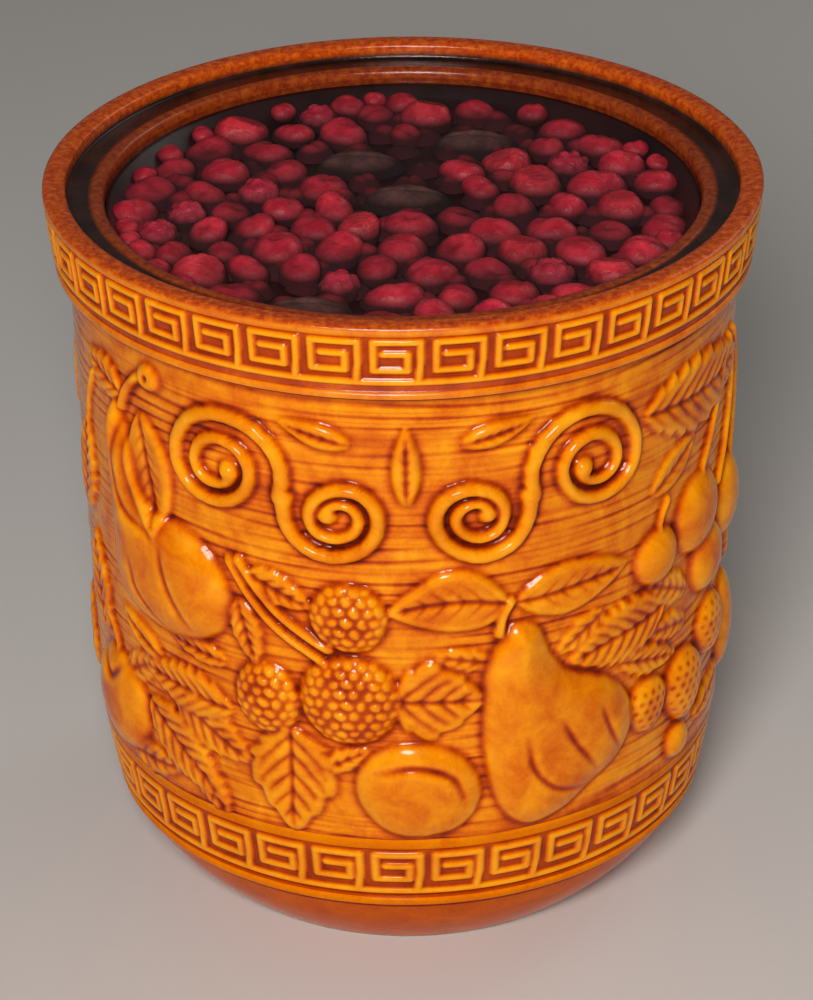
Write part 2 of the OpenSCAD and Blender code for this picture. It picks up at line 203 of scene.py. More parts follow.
# %% The grid of the wall
half_cols = 552
wall_rows = 266
angle_step = 180 / half_cols
row_step = (rim_z - wall_z) / (wall_rows - 1)
A, Z = np.meshgrid(-90 + angle_step * np.arange(half_cols), wall_z + row_step * np.arange(wall_rows))
degree = math.radians(1) * layout_r
print("wall grid", A.shape, "steps of", round(angle_step * degree, 2), "and", round(row_step, 2), "mm")


def blurred_by(field, reach, reach_round=None):
    """A field over the wall, blurred by this many millimetres up and round."""
    return soften(field, reach / row_step, (reach_round or reach) / (angle_step * degree))


def shaky(seed, reach, amount):
    field = blurred_by(np.random.default_rng(seed).normal(size=A.shape), reach)
    return amount * field / np.abs(field).max()


def hand_shift(seed):
    """Small smooth shifts, slow ones of 1 mm and quick ones, which make the drawing look cut by hand."""
    return shaky(seed, 5.0, 1.0) + shaky(seed + 1, 1.8, 0.35)


shift_x, shift_y = hand_shift(3), hand_shift(5)


def local(a, z, turn=0):
    """Millimetres right and up of a place on the wall, turned with a motif."""
    t = math.radians(turn)
    x = ((A - a + 90) % 180 - 90) * degree + shift_x
    y = Z - z + shift_y
    return x * math.cos(t) + y * math.sin(t), -x * math.sin(t) + y * math.cos(t)


# %% Curves on the wall and the distance to them
def on_wall(places):
    """Places given as (angle, height), in millimetres round and up."""
    return np.asarray([(a * degree, z) for a, z in places], float)


def through(a, b, c, d, steps=8):
    """A smooth curve from each b to its c; a and d are the points before and after."""
    t = np.linspace(0, 1, steps, endpoint=False)[:, None, None]
    curve = 0.5 * (2 * b + (c - a) * t + (2 * a - 5 * b + 4 * c - d) * t**2 + (3 * b - a - 3 * c + d) * t**3)
    return curve.transpose(1, 0, 2).reshape(-1, 2)


def smooth_outline(p):
    return through(np.roll(p, 1, 0), p, np.roll(p, -1, 0), np.roll(p, -2, 0))


def smooth_path(p):
    if len(p) < 3:
        return p
    ends = np.concatenate([[2 * p[0] - p[1]], p, [2 * p[-1] - p[-2]]])
    return np.concatenate([through(ends[:-3], ends[1:-2], ends[2:-1], ends[3:]), p[-1:]])


def distance_to(path, x, y, closed=False):
    """Distance from points to a polyline, and how far along it the nearest place is, from 0 to 1."""
    p = np.asarray(path, float)
    q = np.roll(p, -1, 0) if closed else p[1:]
    p = p if closed else p[:-1]
    best = np.full(x.shape, far)
    along = np.zeros(x.shape)
    for i, (s, e) in enumerate(zip(p, q)):
        d = e - s
        t = np.clip(((x - s[0]) * d[0] + (y - s[1]) * d[1]) / max(d @ d, 1 / far), 0, 1)
        gap = np.hypot(x - s[0] - t * d[0], y - s[1] - t * d[1])
        near = gap < best
        best[near] = gap[near]
        along[near] = ((i + t) / len(p))[near]
    return best, along


def inside(path, x, y):
    """Whether points lie inside a closed polygon."""
    p = np.asarray(path, float)
    found = np.zeros(x.shape, bool)
    for (x0, y0), (x1, y1) in zip(p, np.roll(p, -1, 0)):
        if y0 != y1:
            found ^= ((y0 > y) != (y1 > y)) & (x < (x1 - x0) * (y - y0) / (y1 - y0) + x0)
    return found


relief = np.zeros_like(A)
motif = np.zeros_like(A)
ink = np.zeros_like(A)


def lay(mask, height, lines=0.0):
    """Puts a motif on the wall: where it is the higher one it takes the place of what was there."""
    part = relief[mask]
    higher = height >= part
    relief[mask] = np.where(higher, height, part)
    ink[mask] = np.where(higher, lines, ink[mask])
    motif[mask] = 1


def tell_relief():
    share = round(float(motif.mean()), 2)
    print("motifs cover", share, "of the wall and rise", round(float(relief.max()), 1), "mm")


def window(x, y, reach_x, reach_y):
    return (np.abs(x) < reach_x) & (np.abs(y) < reach_y)


def near_line(p, margin):
    """A line from its own middle, a mask of the wall round it, and the masked points from that middle."""
    centre = p.mean(0)
    x, y = local(centre[0] / degree, centre[1])
    q = p - centre
    m = window(x, y, *(np.abs(q).max(0) + margin))
    return q, m, x[m], y[m]


# %% [markdown]
# ### Round and pillowed fruit
# A cherry or an apple is a dome. A pear is a free outline that swells from its edge like a cushion:
# steep at the rim, flat on top. Creases are pressed in afterwards along short curved lines.

# %% Domes, pillows, tubes and creases
def dome(a, z, r, rise, stretch=1.0, turn=0.0, fullness=0.66):
    x, y = local(a, z, turn)
    d = np.hypot(x / r, y / (r * stretch))
    m = d < 1
    lay(m, rise * (1 - d[m] ** 2.2) ** fullness)


def pillow(outline, rise, swell, flat=0.68):
    """outline holds places on the wall; swell is how far in from the edge the top is reached."""
    q, m, x, y = near_line(smooth_outline(on_wall(outline)), 1)
    inner = inside(q, x, y)
    gap, _ = distance_to(q, x, y, closed=True)
    t = np.clip(gap / swell, 0, 1)
    m[m] = inner
    lay(m, rise * (1 - (1 - t[inner]) ** 2) ** flat)


def tube(path, width, rise, taper=1.0):
    """A round strand along places on the wall; taper is its width at the far end as a share."""
    q, m, x, y = near_line(smooth_path(on_wall(path)), width)
    gap, along = distance_to(q, x, y)
    w = width / 2 * (1 + (taper - 1) * along)
    near = gap < w
    m[m] = near
    lay(m, rise * np.sqrt(1 - (gap[near] / w[near]) ** 2) * (0.7 + 0.3 * w[near] / (width / 2)))


def crease(path, depth, width):
    """A groove pressed into whatever is there, and darker than it."""
    q, m, x, y = near_line(smooth_path(on_wall(path)), 4 * width)
    gap, along = distance_to(q, x, y)
    cut = np.exp(-((gap / width) ** 2)) * np.sin(np.pi * np.clip(along, 0.03, 0.97)) ** 0.5
    relief[m] = np.maximum(relief[m] - depth * cut, 0)
    ink[m] = np.maximum(ink[m], 0.20 * cut**2)


# %% [markdown]
# ### Leaves
# A leaf is thin and stands barely proud. What makes it a leaf is its toothed edge, the hollow of its
# midrib and the slanting side veins. The outline comes from one function of the way along the leaf,
# and the veins from the distance to slanting lines that repeat along the midrib. A leaf is given by
# its place, turn, length and width, then its teeth on a side, the way between its veins and its height.

# %% One leaf
edge_run, rib_half, side_half = 1.8, 0.75, 0.62
rib_cut, side_cut = 0.9, 0.5
leaf_ink = 0.16


def leaf(a, z, turn, length, width, teeth, vein=4.4, rise=1.8, bend=0.0, over=False):
    """vein is the way between side veins; over lays the leaf on what is there, such as a pear's neck."""
    x, y = local(a, z, turn)
    m = window(x, y, width / 2 + abs(bend) + 3, length / 2 + 3)
    t = np.clip(y[m] / length + 0.5, 0, 1)
    x_mid = x[m] - bend * np.sin(np.pi * t)
    half = width / 2 * np.sin(np.pi * t**0.8) ** 0.85
    saw = (t * teeth + 0.22 * np.sin(9 * t + a)) % 1
    half = half * (1 + 0.22 * (saw - 0.6)) if teeth else half
    share = np.abs(x_mid) / np.maximum(half, 1 / far)
    inner = (share < 1) & (half > 0.3)
    share, along, across = share[inner], t[inner], np.abs(x_mid[inner])
    edge = np.clip((1 - share) * half[inner] / edge_run, 0, 1) ** 0.6
    reach = 0.78 if teeth else 0.62
    spread = vein * (1.25 if teeth else 1.0)
    slant = (along * length - across * (0.7 + 0.55 * share)) / spread
    rib = np.exp(-((across / rib_half) ** 2)) * np.clip((0.97 - along) * 6, 0, 1)
    side = np.exp(-(((slant % 1) - 0.5) * spread / side_half) ** 2)
    side *= np.clip((reach - share) * 2.2, 0, 1) * np.clip(along * 8, 0, 1)
    notch = np.clip((saw[inner] - 0.82) * 8, 0, 1) * np.clip((share - 0.62) * 4, 0, 1) if teeth else 0
    puff = 0.24 * np.cos(2 * np.pi * slant) * np.clip((1 - share) * 3, 0, 1) if teeth else 0
    body = rise * edge * (1 - 0.225 * (1 - share) ** 2)
    m[m] = inner
    height = np.maximum(body + puff - rib_cut * rib - side_cut * (side + notch), 0.3)
    lines = np.maximum(np.maximum(rib, 0.8 * side), 0.6 * notch)
    lay(m, height + (relief[m] if over else 0), leaf_ink * lines)


# %% [markdown]
# ### Berries
# A bramble berry is a dome set with bead-like drupelets in staggered rows. The distance to the nearest
# point of a six-sided lattice gives each bead its own small dome. Strawberries use the same lattice
# with small pits in place of beads.

# %% Beads and pits over a dome
def lattice_gap(x, y, pitch):
    """Distance to the nearest point of a staggered lattice."""
    row = pitch * math.sqrt(3) / 2
    best = np.full(x.shape, far)
    base = np.floor(y / row)
    for k in (-1, 0, 1, 2):
        j = base + k
        shift = (j % 2) * pitch / 2
        i = np.round((x - shift) / pitch)
        best = np.minimum(best, np.hypot(x - shift - i * pitch, y - j * row))
    return best


bead_pitch, bead_rise = 4.7, 1.6
pit_pitch, pit_half, pit_depth = 3.6, 0.75, 0.75


def bead_berry(a, z, r, rise, stretch=1.0):
    x, y = local(a, z)
    d = np.hypot(x / r, y / (r * stretch))
    m = d < 1
    bulge = 1 + 0.22 * d[m] ** 2
    wobble = 0.6 * np.sin(x[m] * 0.9 + a) * np.cos(y[m] * 0.8 + z)
    gap = lattice_gap(x[m] * bulge + wobble, y[m] * bulge - wobble, bead_pitch)
    drop = np.sqrt(np.clip(1 - (gap / (bead_pitch * 0.36)) ** 2, 0, 1))
    lay(m, rise * (1 - d[m] ** 2.6) ** 0.6 + bead_rise * drop * (1 - d[m] ** 8), 0.11 * (1 - drop) ** 2)


def pitted_fruit(a, z, r, rise, stretch):
    x, y = local(a, z)
    narrow = 1 + 0.28 * np.clip(-y / (r * stretch), -0.4, 1)
    d = np.hypot(x * narrow / r, y / (r * stretch))
    m = d < 1
    pit = np.exp(-((lattice_gap(x[m], y[m], pit_pitch) / pit_half) ** 2)) * (d[m] < 0.9)
    lay(m, np.maximum(rise * (1 - d[m] ** 2.4) ** 0.55 - pit_depth * pit, 0.3), 0.25 * pit)


# %% [markdown]
# ### The left side: long pear, apple and their leaves
# The long pear hangs from a blossom near the rim, with a veined leaf over its neck. The apple sits low
# at the side. Outlines are given as places on the wall, so they bend round with it.

# %% Long pear and apple
pillow([(-57, 198), (-52.5, 186), (-49.5, 172), (-45, 166), (-38.5, 163), (-33.5, 156), (-30.8, 143),
        (-33, 130), (-40, 122.5), (-49, 121.5), (-56, 126), (-59.5, 137), (-60, 152), (-60, 170),
        (-60.5, 188)], 6.6, 17)
crease([(-51.5, 146), (-50, 135), (-45, 125.5)], 0.9, 1.0)
crease([(-44, 156), (-42.6, 143), (-38.5, 129)], 1.0, 1.1)
crease([(-54.5, 196), (-56, 178), (-53, 164), (-46, 158)], 1.0, 1.0)
leaf(-47.6, 178, -168, 42, 20, teeth=0, rise=2.0, vein=5.0, over=True)
leaf(-61, 205, 72, 24, 15, teeth=4)
tube([(-55, 197), (-53, 205), (-50, 211)], 3.2, 2.8)
dome(-47, 213, 5.2, 3.0)
crease([(-47.6, 213), (-46.4, 213)], 2.4, 1.6)
dome(-62.5, 81.5, 19, 5.6)
crease([(-67, 96), (-63, 90), (-60, 95)], 1.6, 1.6)
for place in [
        (-42.7, 102.5, 85, 42, 18, 9, 4.0), (-43.0, 77.5, -128, 44, 22, 9, 4.6),
        (-39, 120, 82, 26, 10, 6, 3.6), (-54, 114, 66, 26, 10, 0),
        (-36.5, 90.5, -118, 38, 20, 8, 4.4, 1.2), (-52, 66.5, -82, 30, 13, 6, 4.4, 1.2),
        (-37, 67, -142, 26, 14, 6, 4.4, 1.3), (-54, 101, -58, 26, 12, 5, 4.4, 1.2),
        (-70, 120, 10, 38, 18, 6), (-73, 162, -12, 42, 18, 6)]:
    leaf(*place)
tube([(-66, 200), (-70, 185), (-70, 172)], 2.6, 1.8, 0.5)
tube([(-62.5, 100), (-64, 106), (-67, 112)], 2.4, 1.8)
tell_relief()

# %% [markdown]
# ### The middle: berries, plum and round pear
# Three bramble berries hang on a double stalk, with a toothed leaf that points down between them and
# the plum. The pear on the right stands highest and has three soft creases down its belly.

# %% Berries, plum and pear
for place in [
        (-20.5, 80, 180, 40, 31, 5, 5.6), (-28, 132, -165, 25, 12, 5, 3.4),
        (-21.8, 150.5, -112, 25, 13, 5, 3.6), (5.0, 113, -92, 31, 29, 4, 5.2)]:
    leaf(*place)
leaf(6.8, 146, 92, 40, 23, teeth=0, bend=3.5, vein=6.0)
for place in [
        (29.5, 148, -86, 42, 19.5, 0, 6.0), (39, 123, 100, 43, 24, 9, 4.4),
        (47, 107.5, -105, 30, 12, 5, 3.8), (52, 176, -60, 28, 13, 0, 4.4, 1.2),
        (-11, 90, -60, 20, 9, 4, 3.4), (9.5, 127.5, 78, 22, 9, 4, 3.6, 1.2),
        (30.5, 129, 122, 22, 11, 4, 3.6, 1.2), (51, 131, 62, 27, 13, 6, 3.8, 1.3),
        (51.5, 115.5, 78, 24, 11, 5, 3.8, 1.2)]:
    leaf(*place)
tube([(-31, 158), (-27, 146), (-22, 136), (-15, 127.5)], 3.4, 2.7)
tube([(-29.3, 159), (-25.2, 148), (-20.2, 139), (-13.5, 131)], 3.2, 2.5)
bead_berry(-10, 143.5, 12.8, 3.6)
bead_berry(-24.8, 109.5, 11.6, 3.6, stretch=1.16)
bead_berry(-10, 113, 16.8, 4.4)
dome(1.5, 79, 21.0, 5.6, stretch=0.86, turn=-16)
crease([(-5.5, 87), (1, 89.5), (7, 85), (9.5, 74)], 1.1, 1.2)
pillow([(17.5, 138), (22, 137), (25, 125), (29, 116.5), (36, 110), (41.5, 99), (42.2, 86), (38.5, 76),
        (33.5, 71), (28, 63.5), (21.5, 61), (16.5, 67), (13.8, 80), (12.6, 96), (12.6, 112), (13.4, 126)],
       6.9, 18)
crease([(19.5, 98), (20.6, 87), (24.4, 77), (31.5, 71.5)], 1.0, 1.1)
crease([(25.6, 102), (28.2, 92), (33.2, 78)], 0.9, 1.0)
crease([(33.4, 102), (35.0, 93), (38.0, 82)], 0.9, 1.0)
tube([(15.5, 136), (16, 142), (17.5, 147)], 3.4, 3.0)
tell_relief()

# %% [markdown]
# ### The right side: cherries, strawberries and a long fruit
# Cherries hang on thin curved stalks below a large leaf, and three strawberries with pitted skins lie
# under them. The same relief continues round to the mould seam at each side.

# %% Cherries, strawberries, long fruit
leaf(61, 199, -92, 68, 27, teeth=9, bend=2, vein=5.4)
tube([(72, 206), (75, 186), (73, 168), (69, 154)], 2.6, 2.2)
tube([(75, 206), (80, 188), (80, 168), (77, 154)], 2.6, 2.2)
tube([(70, 204), (66, 184), (61, 166)], 2.4, 2.0)
dome(47.3, 146, 10.4, 4.8)
dome(60, 152, 14.2, 5.2, stretch=1.06)
dome(64.5, 131, 11.8, 5.2, stretch=1.1)
dome(76.5, 143, 12, 5.2, stretch=1.3)
tube([(50, 165), (48.5, 160), (47.6, 155)], 2.4, 2.0)
pitted_fruit(46.2, 90.5, 9.4, 4.6, 1.1)
pitted_fruit(57, 89, 11, 5.4, 1.25)
pitted_fruit(67.5, 102, 10.4, 4.8, 1.15)
dome(56, 68, 7, 3.6)
dome(78.5, 92.5, 9, 4.8, stretch=2.3, turn=6)
for place in [
        (70, 74, -70, 30, 12, 6), (84, 122, 15, 30, 12, 6), (86.5, 176, -8, 36, 15, 7),
        (89, 78, 24, 26, 11, 5), (-84, 88, 20, 32, 13, 6)]:
    leaf(*place)
tell_relief()

# %% [markdown]
# ### The scroll ornament
# The panel under the rim carries plain scrolls: on each side a large volute that runs into a smaller
# one, with a leaf between and one on either side. A volute is a chain of half circles, each smaller
# than the last, so its middle line is one smooth path for a raised strand.

# %% Scrolls and their leaves
def volute_path(a, z, turn, r, flip):
    """Middle line of a volute, from its outer end inwards, as places on the wall."""
    half_circles, steps, shrink = 4, 13, 0.72
    points = []
    x = 0.0
    for i in range(half_circles):
        side = 1 if i % 2 == 0 else -1
        for t in np.radians(np.linspace(0, 180, steps)):
            points.append((x + side * r * math.cos(t), side * r * math.sin(t)))
        x -= side * (r - r * shrink)
        r *= shrink
    c, s = math.cos(math.radians(turn)), math.sin(math.radians(turn))
    return [(flip * (a + (px * c - py * s) / degree), z + px * s + py * c) for px, py in points]


def ribbon(path, wide, narrow, rise):
    """A raised strand with a flat crown, wide at its outer end and narrow at its inner end."""
    q, m, x, y = near_line(on_wall(path), wide)
    gap, along = distance_to(q, x, y)
    w = (wide + (narrow - wide) * along) / 2
    near = gap < w
    m[m] = near
    t = gap[near] / w[near]
    lay(m, rise * (1 - t**2.6) ** 0.5 * (0.8 + 0.2 * w[near] / (wide / 2)))


for flip in (1, -1):
    ribbon(volute_path(-30.8, 190.5, -18, 19.5, flip), 5.4, 3.6, 3.1)
    ribbon(volute_path(-12.5, 180.5, 162, 15.0, flip), 5.4, 3.4, 3.1)
    dome(flip * -30.2, 190.2, 3.6, 3.4)
    dome(flip * -13.1, 180.8, 3.2, 3.4)
    leaf(flip * -15, 208.5, flip * 76, 25, 9, teeth=0, vein=3.6, rise=2.2)
leaf(0, 198.5, 0, 29, 9.5, teeth=0, vein=3.6, rise=2.4)
tell_relief()

# %% [markdown]
# ### The combed ground
# Between the fruit the wall is scored with long shallow grooves that run round the pot, a little
# wavy and broken here and there. A phase that climbs with the height, shaken by a slow noise that is
# long in the direction of the strokes, gives the grooves; a second noise lets each one fade and return.

# %% Grooves round the pot
def strokes(seed, pitch, wave, width):
    """Grooves about one pitch apart, from 0 on the flat to 1 in the deepest line."""
    rng = np.random.default_rng(seed)
    slow = blurred_by(rng.normal(size=A.shape), 5.0, 26.0)
    fade = blurred_by(rng.normal(size=A.shape), pitch * 0.4, 13.0)
    phase = Z / pitch + wave * slow / np.abs(slow).max()
    keep = np.clip(0.50 + 1.7 * fade / np.abs(fade).max(), 0, 1)
    return np.exp(-((((phase % 1) - 0.5) / width) ** 2)) * keep


ground = np.clip(1 - soften(motif, 0.9, 0.9) * 1.3, 0, 1)
coarse, light = strokes(21, 4.2, 1.4, 0.15), strokes(22, 2.1, 1.8, 0.2)
comb = np.clip(coarse + 0.30 * light, 0, 1) * ground
print("share of the ground cut by the comb", round(float((comb > 0.4).mean() / (ground > 0.5).mean()), 2))

# %% [markdown]
# ### Where the glaze gathers, and painted shade
# A translucent glaze is thin on the crests and thick in the hollows, so crests show bright honey and
# hollows nearly black-brown. The difference between a blurred height and the height itself is just
# that: positive in a hollow, negative on a crest. It is kept as one value for each point, which
# also carries painted shade in a band just under the rim and another just above the base.

# %% Blur the height and compare
edge_groove, comb_depth = 0.60, 0.30
flat_pool, comb_pool, ground_pale = 0.27, 0.18, 0.08
fine_gain, wide_gain = 0.66, 0.05
# The next two pairs are painted shade: they darken the colour in a band under the rim and above the base.
shade_under_rim, shade_under_rim_reach, shade_on_base, shade_on_base_reach = 0.50, 1.8, 0.30, 1.5
relief -= edge_groove * np.clip(blurred_by(motif, 1.5) - motif, 0, 1)
relief = soften(relief, 1.05, 1.05) - comb_depth * comb
fine = np.clip(blurred_by(relief, 1.2) - relief, -0.16, 1.0)
wide = np.clip(blurred_by(relief, 3.2) - relief, -1.0, 1.6)
pool_and_shade = flat_pool + fine_gain * fine + wide_gain * wide + ink + comb_pool * comb - ground_pale * ground
# Painted shade: darker colour fading down from the rim and up from the base.
pool_and_shade += shade_under_rim * np.exp(-(rim_z - Z) / shade_under_rim_reach) + shade_on_base * np.exp(-(Z - wall_z) / shade_on_base_reach)
pool_and_shade = np.clip(pool_and_shade, 0, 1)
open_ground = round(float((motif == 0).mean()), 2)
print("relief up to", round(float(relief.max()), 2), "mm, share of ground", open_ground)

# %% [markdown]
# ## The wall
# The wall is one casting. It is drawn here as four panels, front, right, back and left, so that no mesh
# grows too heavy, and each panel is a closed slab with its own back. The direction of the surface is
# worked out once for the whole ring and written into the panels, so no seam shows where they meet.

# %% Build the four panels
slab = 3.0
ring_h, ring_pool_and_shade, ring_ground = (np.concatenate([f, f], 1) for f in (relief, pool_and_shade, ground))
cols = 2 * half_cols
ring_a = -90 + angle_step * np.arange(cols)
ring_z = wall_z + row_step * np.arange(wall_rows)
ring_r = wall_radius(ring_z)[:, None] + ring_h
wall_skin = around(ring_a[None, :] + 0 * ring_r, ring_r, ring_z[:, None])
along_a = np.roll(wall_skin, -1, 1) - np.roll(wall_skin, 1, 1)
facing = np.cross(along_a, np.gradient(wall_skin, axis=0))
facing /= np.linalg.norm(facing, axis=-1, keepdims=True)


def wall_panel(name, first, count):
    """A closed slab of the wall from column first, count columns wide."""
    pick = (first + np.arange(count)) % cols
    back = [around(ring_a[pick], wall_radius(z) - slab, z) for z in (ring_z[0], ring_z[-1])]
    n = wall_rows * count
    faces = backed(wall_rows, count)
    faces.append((*range(0, n, count), n + count, n))
    faces.append((*range(n - 1, 0, -count), n + count - 1, n + 2 * count - 1))
    panel = mesh_object(name, np.concatenate([wall_skin[:, pick].reshape(-1, 3)] + back), faces, {
        "pool_and_shade": np.concatenate([ring_pool_and_shade[:, pick].ravel(), np.ones(2 * count)]),
        "ground": np.concatenate([ring_ground[:, pick].ravel(), np.zeros(2 * count)])})
    inward = -around(ring_a[pick], 1.0, 0.0)
    directions = np.concatenate([facing[:, pick].reshape(-1, 3), inward, inward])
    panel.data.normals_split_custom_set_from_vertices(directions.tolist())
    return panel


front_cols = 350
side_cols = half_cols - front_cols + 2
front_first = (half_cols - front_cols) // 2 + 1
walls = [
    wall_panel("wall_front", front_first, front_cols),
    wall_panel("wall_right", front_first + front_cols - 1, side_cols),
    wall_panel("wall_back", front_first + half_cols, front_cols),
    wall_panel("wall_left", front_first + half_cols + front_cols - 1, side_cols)]
tell(*walls)

# %% [markdown]
# ## Turned parts: rim, gallery, base and foot
# A potter's wheel or a jigger makes these, so each is a profile spun round the axis. The profile is a
# closed line of radius and height. Corners are rounded with short arcs first, because glaze never
# leaves an edge sharp. Each profile point also carries values for its glaze colour, and on the rim
# for painted shade on its underside and in the gallery.

# %% Spin a closed profile
def rounded(corners, steps=4):
    """A closed profile from corners (r, z, radius), each rounded by its radius where there is room."""
    out = []
    points = np.array(corners, float)[:, :2]
    for i, here in enumerate(points):
        before, after = points[i - 1] - here, points[(i + 1) % len(points)] - here
        lb, la = np.linalg.norm(before), np.linalg.norm(after)
        cut = min(corners[i][2], lb * 0.49, la * 0.49)
        if cut < 0.02:
            out.append(here)
            continue
        s, e = here + before / lb * cut, here + after / la * cut
        for t in np.linspace(0, 1, steps + 1):
            out.append((1 - t) ** 2 * s + 2 * t * (1 - t) * here + t**2 * e)
    return np.array(out)


def resampled(profile, step):
    """The same closed profile with no stretch longer than step."""
    out = []
    for s, e in zip(profile, np.roll(profile, -1, 0)):
        n = max(1, int(math.ceil(np.linalg.norm(e - s) / step)))
        out.extend(s + (e - s) * i / n for i in range(n))
    return np.array(out)


def spun(name, profile, count, values):
    """A ring from a closed profile that runs counterclockwise in radius and height."""
    a = 360 * np.arange(count) / count
    rings = np.stack([around(a, r, z) for r, z in profile])
    points = rings.reshape(-1, 3)
    faces = quads(len(profile), count, wrap=True)
    last = (len(profile) - 1) * count
    i = np.arange(count)
    closing = np.stack([last + i, last + (i + 1) % count, (i + 1) % count, i], -1)
    spread = {key: np.repeat(value, count) for key, value in values.items()}
    return mesh_object(name, points, np.concatenate([faces, closing]), spread)


# %% The rim with its lid gallery
bead = 1.2
spin_steps = 288
band_pool, edge_pool = 0.52, 0.24
foot_pool, joint_pool = 0.40, 0.78
rim_profile = [
    (112, rim_z, 0.0), (rim_ground(rim_z) + 0.3, rim_z, 0.8), (rim_ground(224.2) + bead, 224.1, 0.9),
    (rim_ground(226) + bead, 225.9, 0.9), (rim_ground(226.8), 226.8, 0.6), (rim_ground(229), 229.0, 0.5),
    (rim_ground(245.9), 245.9, 0.6), (rim_ground(246.6) + bead, 246.9, 0.8), (rim_r, 248.2, 0.9),
    (rim_r - 0.3, 249.4, 0.8), (rim_r - 1.6, pot_h, 1.2), (gallery_r + 1.8, pot_h - 0.1, 1.2),
    (gallery_r + 0.1, 249.0, 0.8), (gallery_r, 246.0, 1.0), (gallery_r - 0.4, ledge_z + 0.1, 1.6),
    (ledge_r + 0.3, ledge_z, 1.0), (ledge_r - 0.9, ledge_z + 0.55, 0.9),
    (ledge_r - 2.4, ledge_z + 0.62, 1.0), (throat_r + 0.6, ledge_z + 0.1, 1.0),
    (throat_r, ledge_z - 1.8, 1.2), (throat_r, 231.5, 0.0), (104, 226, 0.0), (104, rim_z, 0.0)]
rim_line = resampled(rounded(rim_profile), 1.3)
rim_radii, rim_heights = rim_line[:, 0], rim_line[:, 1]
band = (rim_heights > 226.5) & (rim_heights < 246.2) & (rim_radii > 110.5)
# Painted shade: the underside of the rim gets a high value, so it is coloured dark.
shaded_underside = (rim_heights < 224.3) & (rim_radii > 110)
rim_pool_and_shade = np.where(shaded_underside, 0.9, np.where(band, band_pool, edge_pool))
# Painted shade: inside the gallery wall and below about 247 mm, ledge, lip and throat are coloured near
# black, a little less on the lip, for the shade in that recess.
gallery = np.clip((gallery_r + 1.4 - rim_radii) / 1.6, 0, 1) * np.clip((247.4 - rim_heights) / 2.0, 0, 1)
lip = np.clip((ledge_r + 0.8 - rim_radii) / 1.4, 0, 1)
top_share = np.clip((rim_heights - 248.4) / 1.0, 0, 1)
top_share = np.where((rim_radii < gallery_r + 2) & (rim_heights > 230), 1, top_share)
rim = spun("rim_and_gallery", rim_line, spin_steps, {
    "pool_and_shade": rim_pool_and_shade, "mottle": top_share, "gallery_shade": gallery * (1 - 0.48 * lip)})
tell(rim)

# %% [markdown]
# The base band sits between two beads, and below it the foot draws in to the ring that the pot stands
# on. Only that ring is bare stoneware, because glaze there would have stuck the pot to the kiln shelf.

# %% The base and the foot
foot_top = foot_z - 0.4
foot_low, foot_hollow, well_floor = 1.2, 2.5, 10.5
foot_belly = 2.2
foot_out = base_low_r - 1.4 - foot_r
foot_curve = [(foot_r + foot_out * t + foot_belly * math.sin(math.pi * t),
               foot_low + (foot_top - foot_low) * t, 3.0) for t in (0.14, 0.28, 0.42, 0.56, 0.70, 0.84)]
base_profile = (
    [(60, foot_hollow, 0.0), (foot_r - 13, foot_hollow, 0.8), (foot_r - 11, 0.3, 0.6), (foot_r - 10, 0, 0.6),
     (foot_r - 1.4, 0, 0.6), (foot_r, foot_low, 0.6)] + foot_curve +
    [(base_ground(foot_z) - 0.2, foot_top, 0.5), (base_ground(30.6) + bead, foot_z + 0.5, 0.9),
     (base_ground(32.8) + bead, 32.8, 0.9), (base_ground(33.4), 33.5, 0.6), (base_ground(36), 36.0, 0.3),
     (base_ground(54.2), 54.2, 0.6), (base_ground(55.2) + bead, 55.4, 0.9),
     (base_ground(58.2) + bead, 58.3, 0.9), (base_ground(59.2) + 0.6, 59.3, 0.5),
     (wall_low_r - 1, wall_z, 0.2), (98, wall_z, 0.0), (90, 26, 0.0), (70, well_floor, 2.0),
     (1, well_floor, 0.0), (1, foot_hollow, 0.0)])
base_line = resampled(rounded(base_profile), 1.6)
base_radii, base_heights = base_line[:, 0], base_line[:, 1]
base_band = (base_heights > 33.2) & (base_heights < 54.9) & (base_radii > 99)
on_foot = (base_heights < foot_z - 0.2) & (base_heights > 0.6)
base_pool = np.where(on_foot, foot_pool, np.where(base_band, band_pool, 0.26))
base_pool = np.where((base_heights > 29.0) & (base_heights < 30.2), joint_pool, base_pool)
bare = ((base_heights < 0.9) | ((base_radii < foot_r - 9) & (base_heights < 3))).astype(float)
base = spun("base_and_foot", base_line, spin_steps, {"pool_and_shade": base_pool, "bare": bare})
tell(base)

# %% [markdown]
# ## The key bands
# A band is one tile, repeated round the pot. The tile is a small height map of one key: a stroke that
# runs up, along, down and back into itself, on a darker ground, with the rail under it. Tiles have no
# side walls, so when Geometry Nodes has set them in a ring and welded them, the band is one closed
# strip. The number of keys and the turn of the first one stay inputs of the tree.

# %% One key as a tile
key_rise, key_lift, key_back = 1.2, 0.12, 1.0
hollow_reach = 1.3


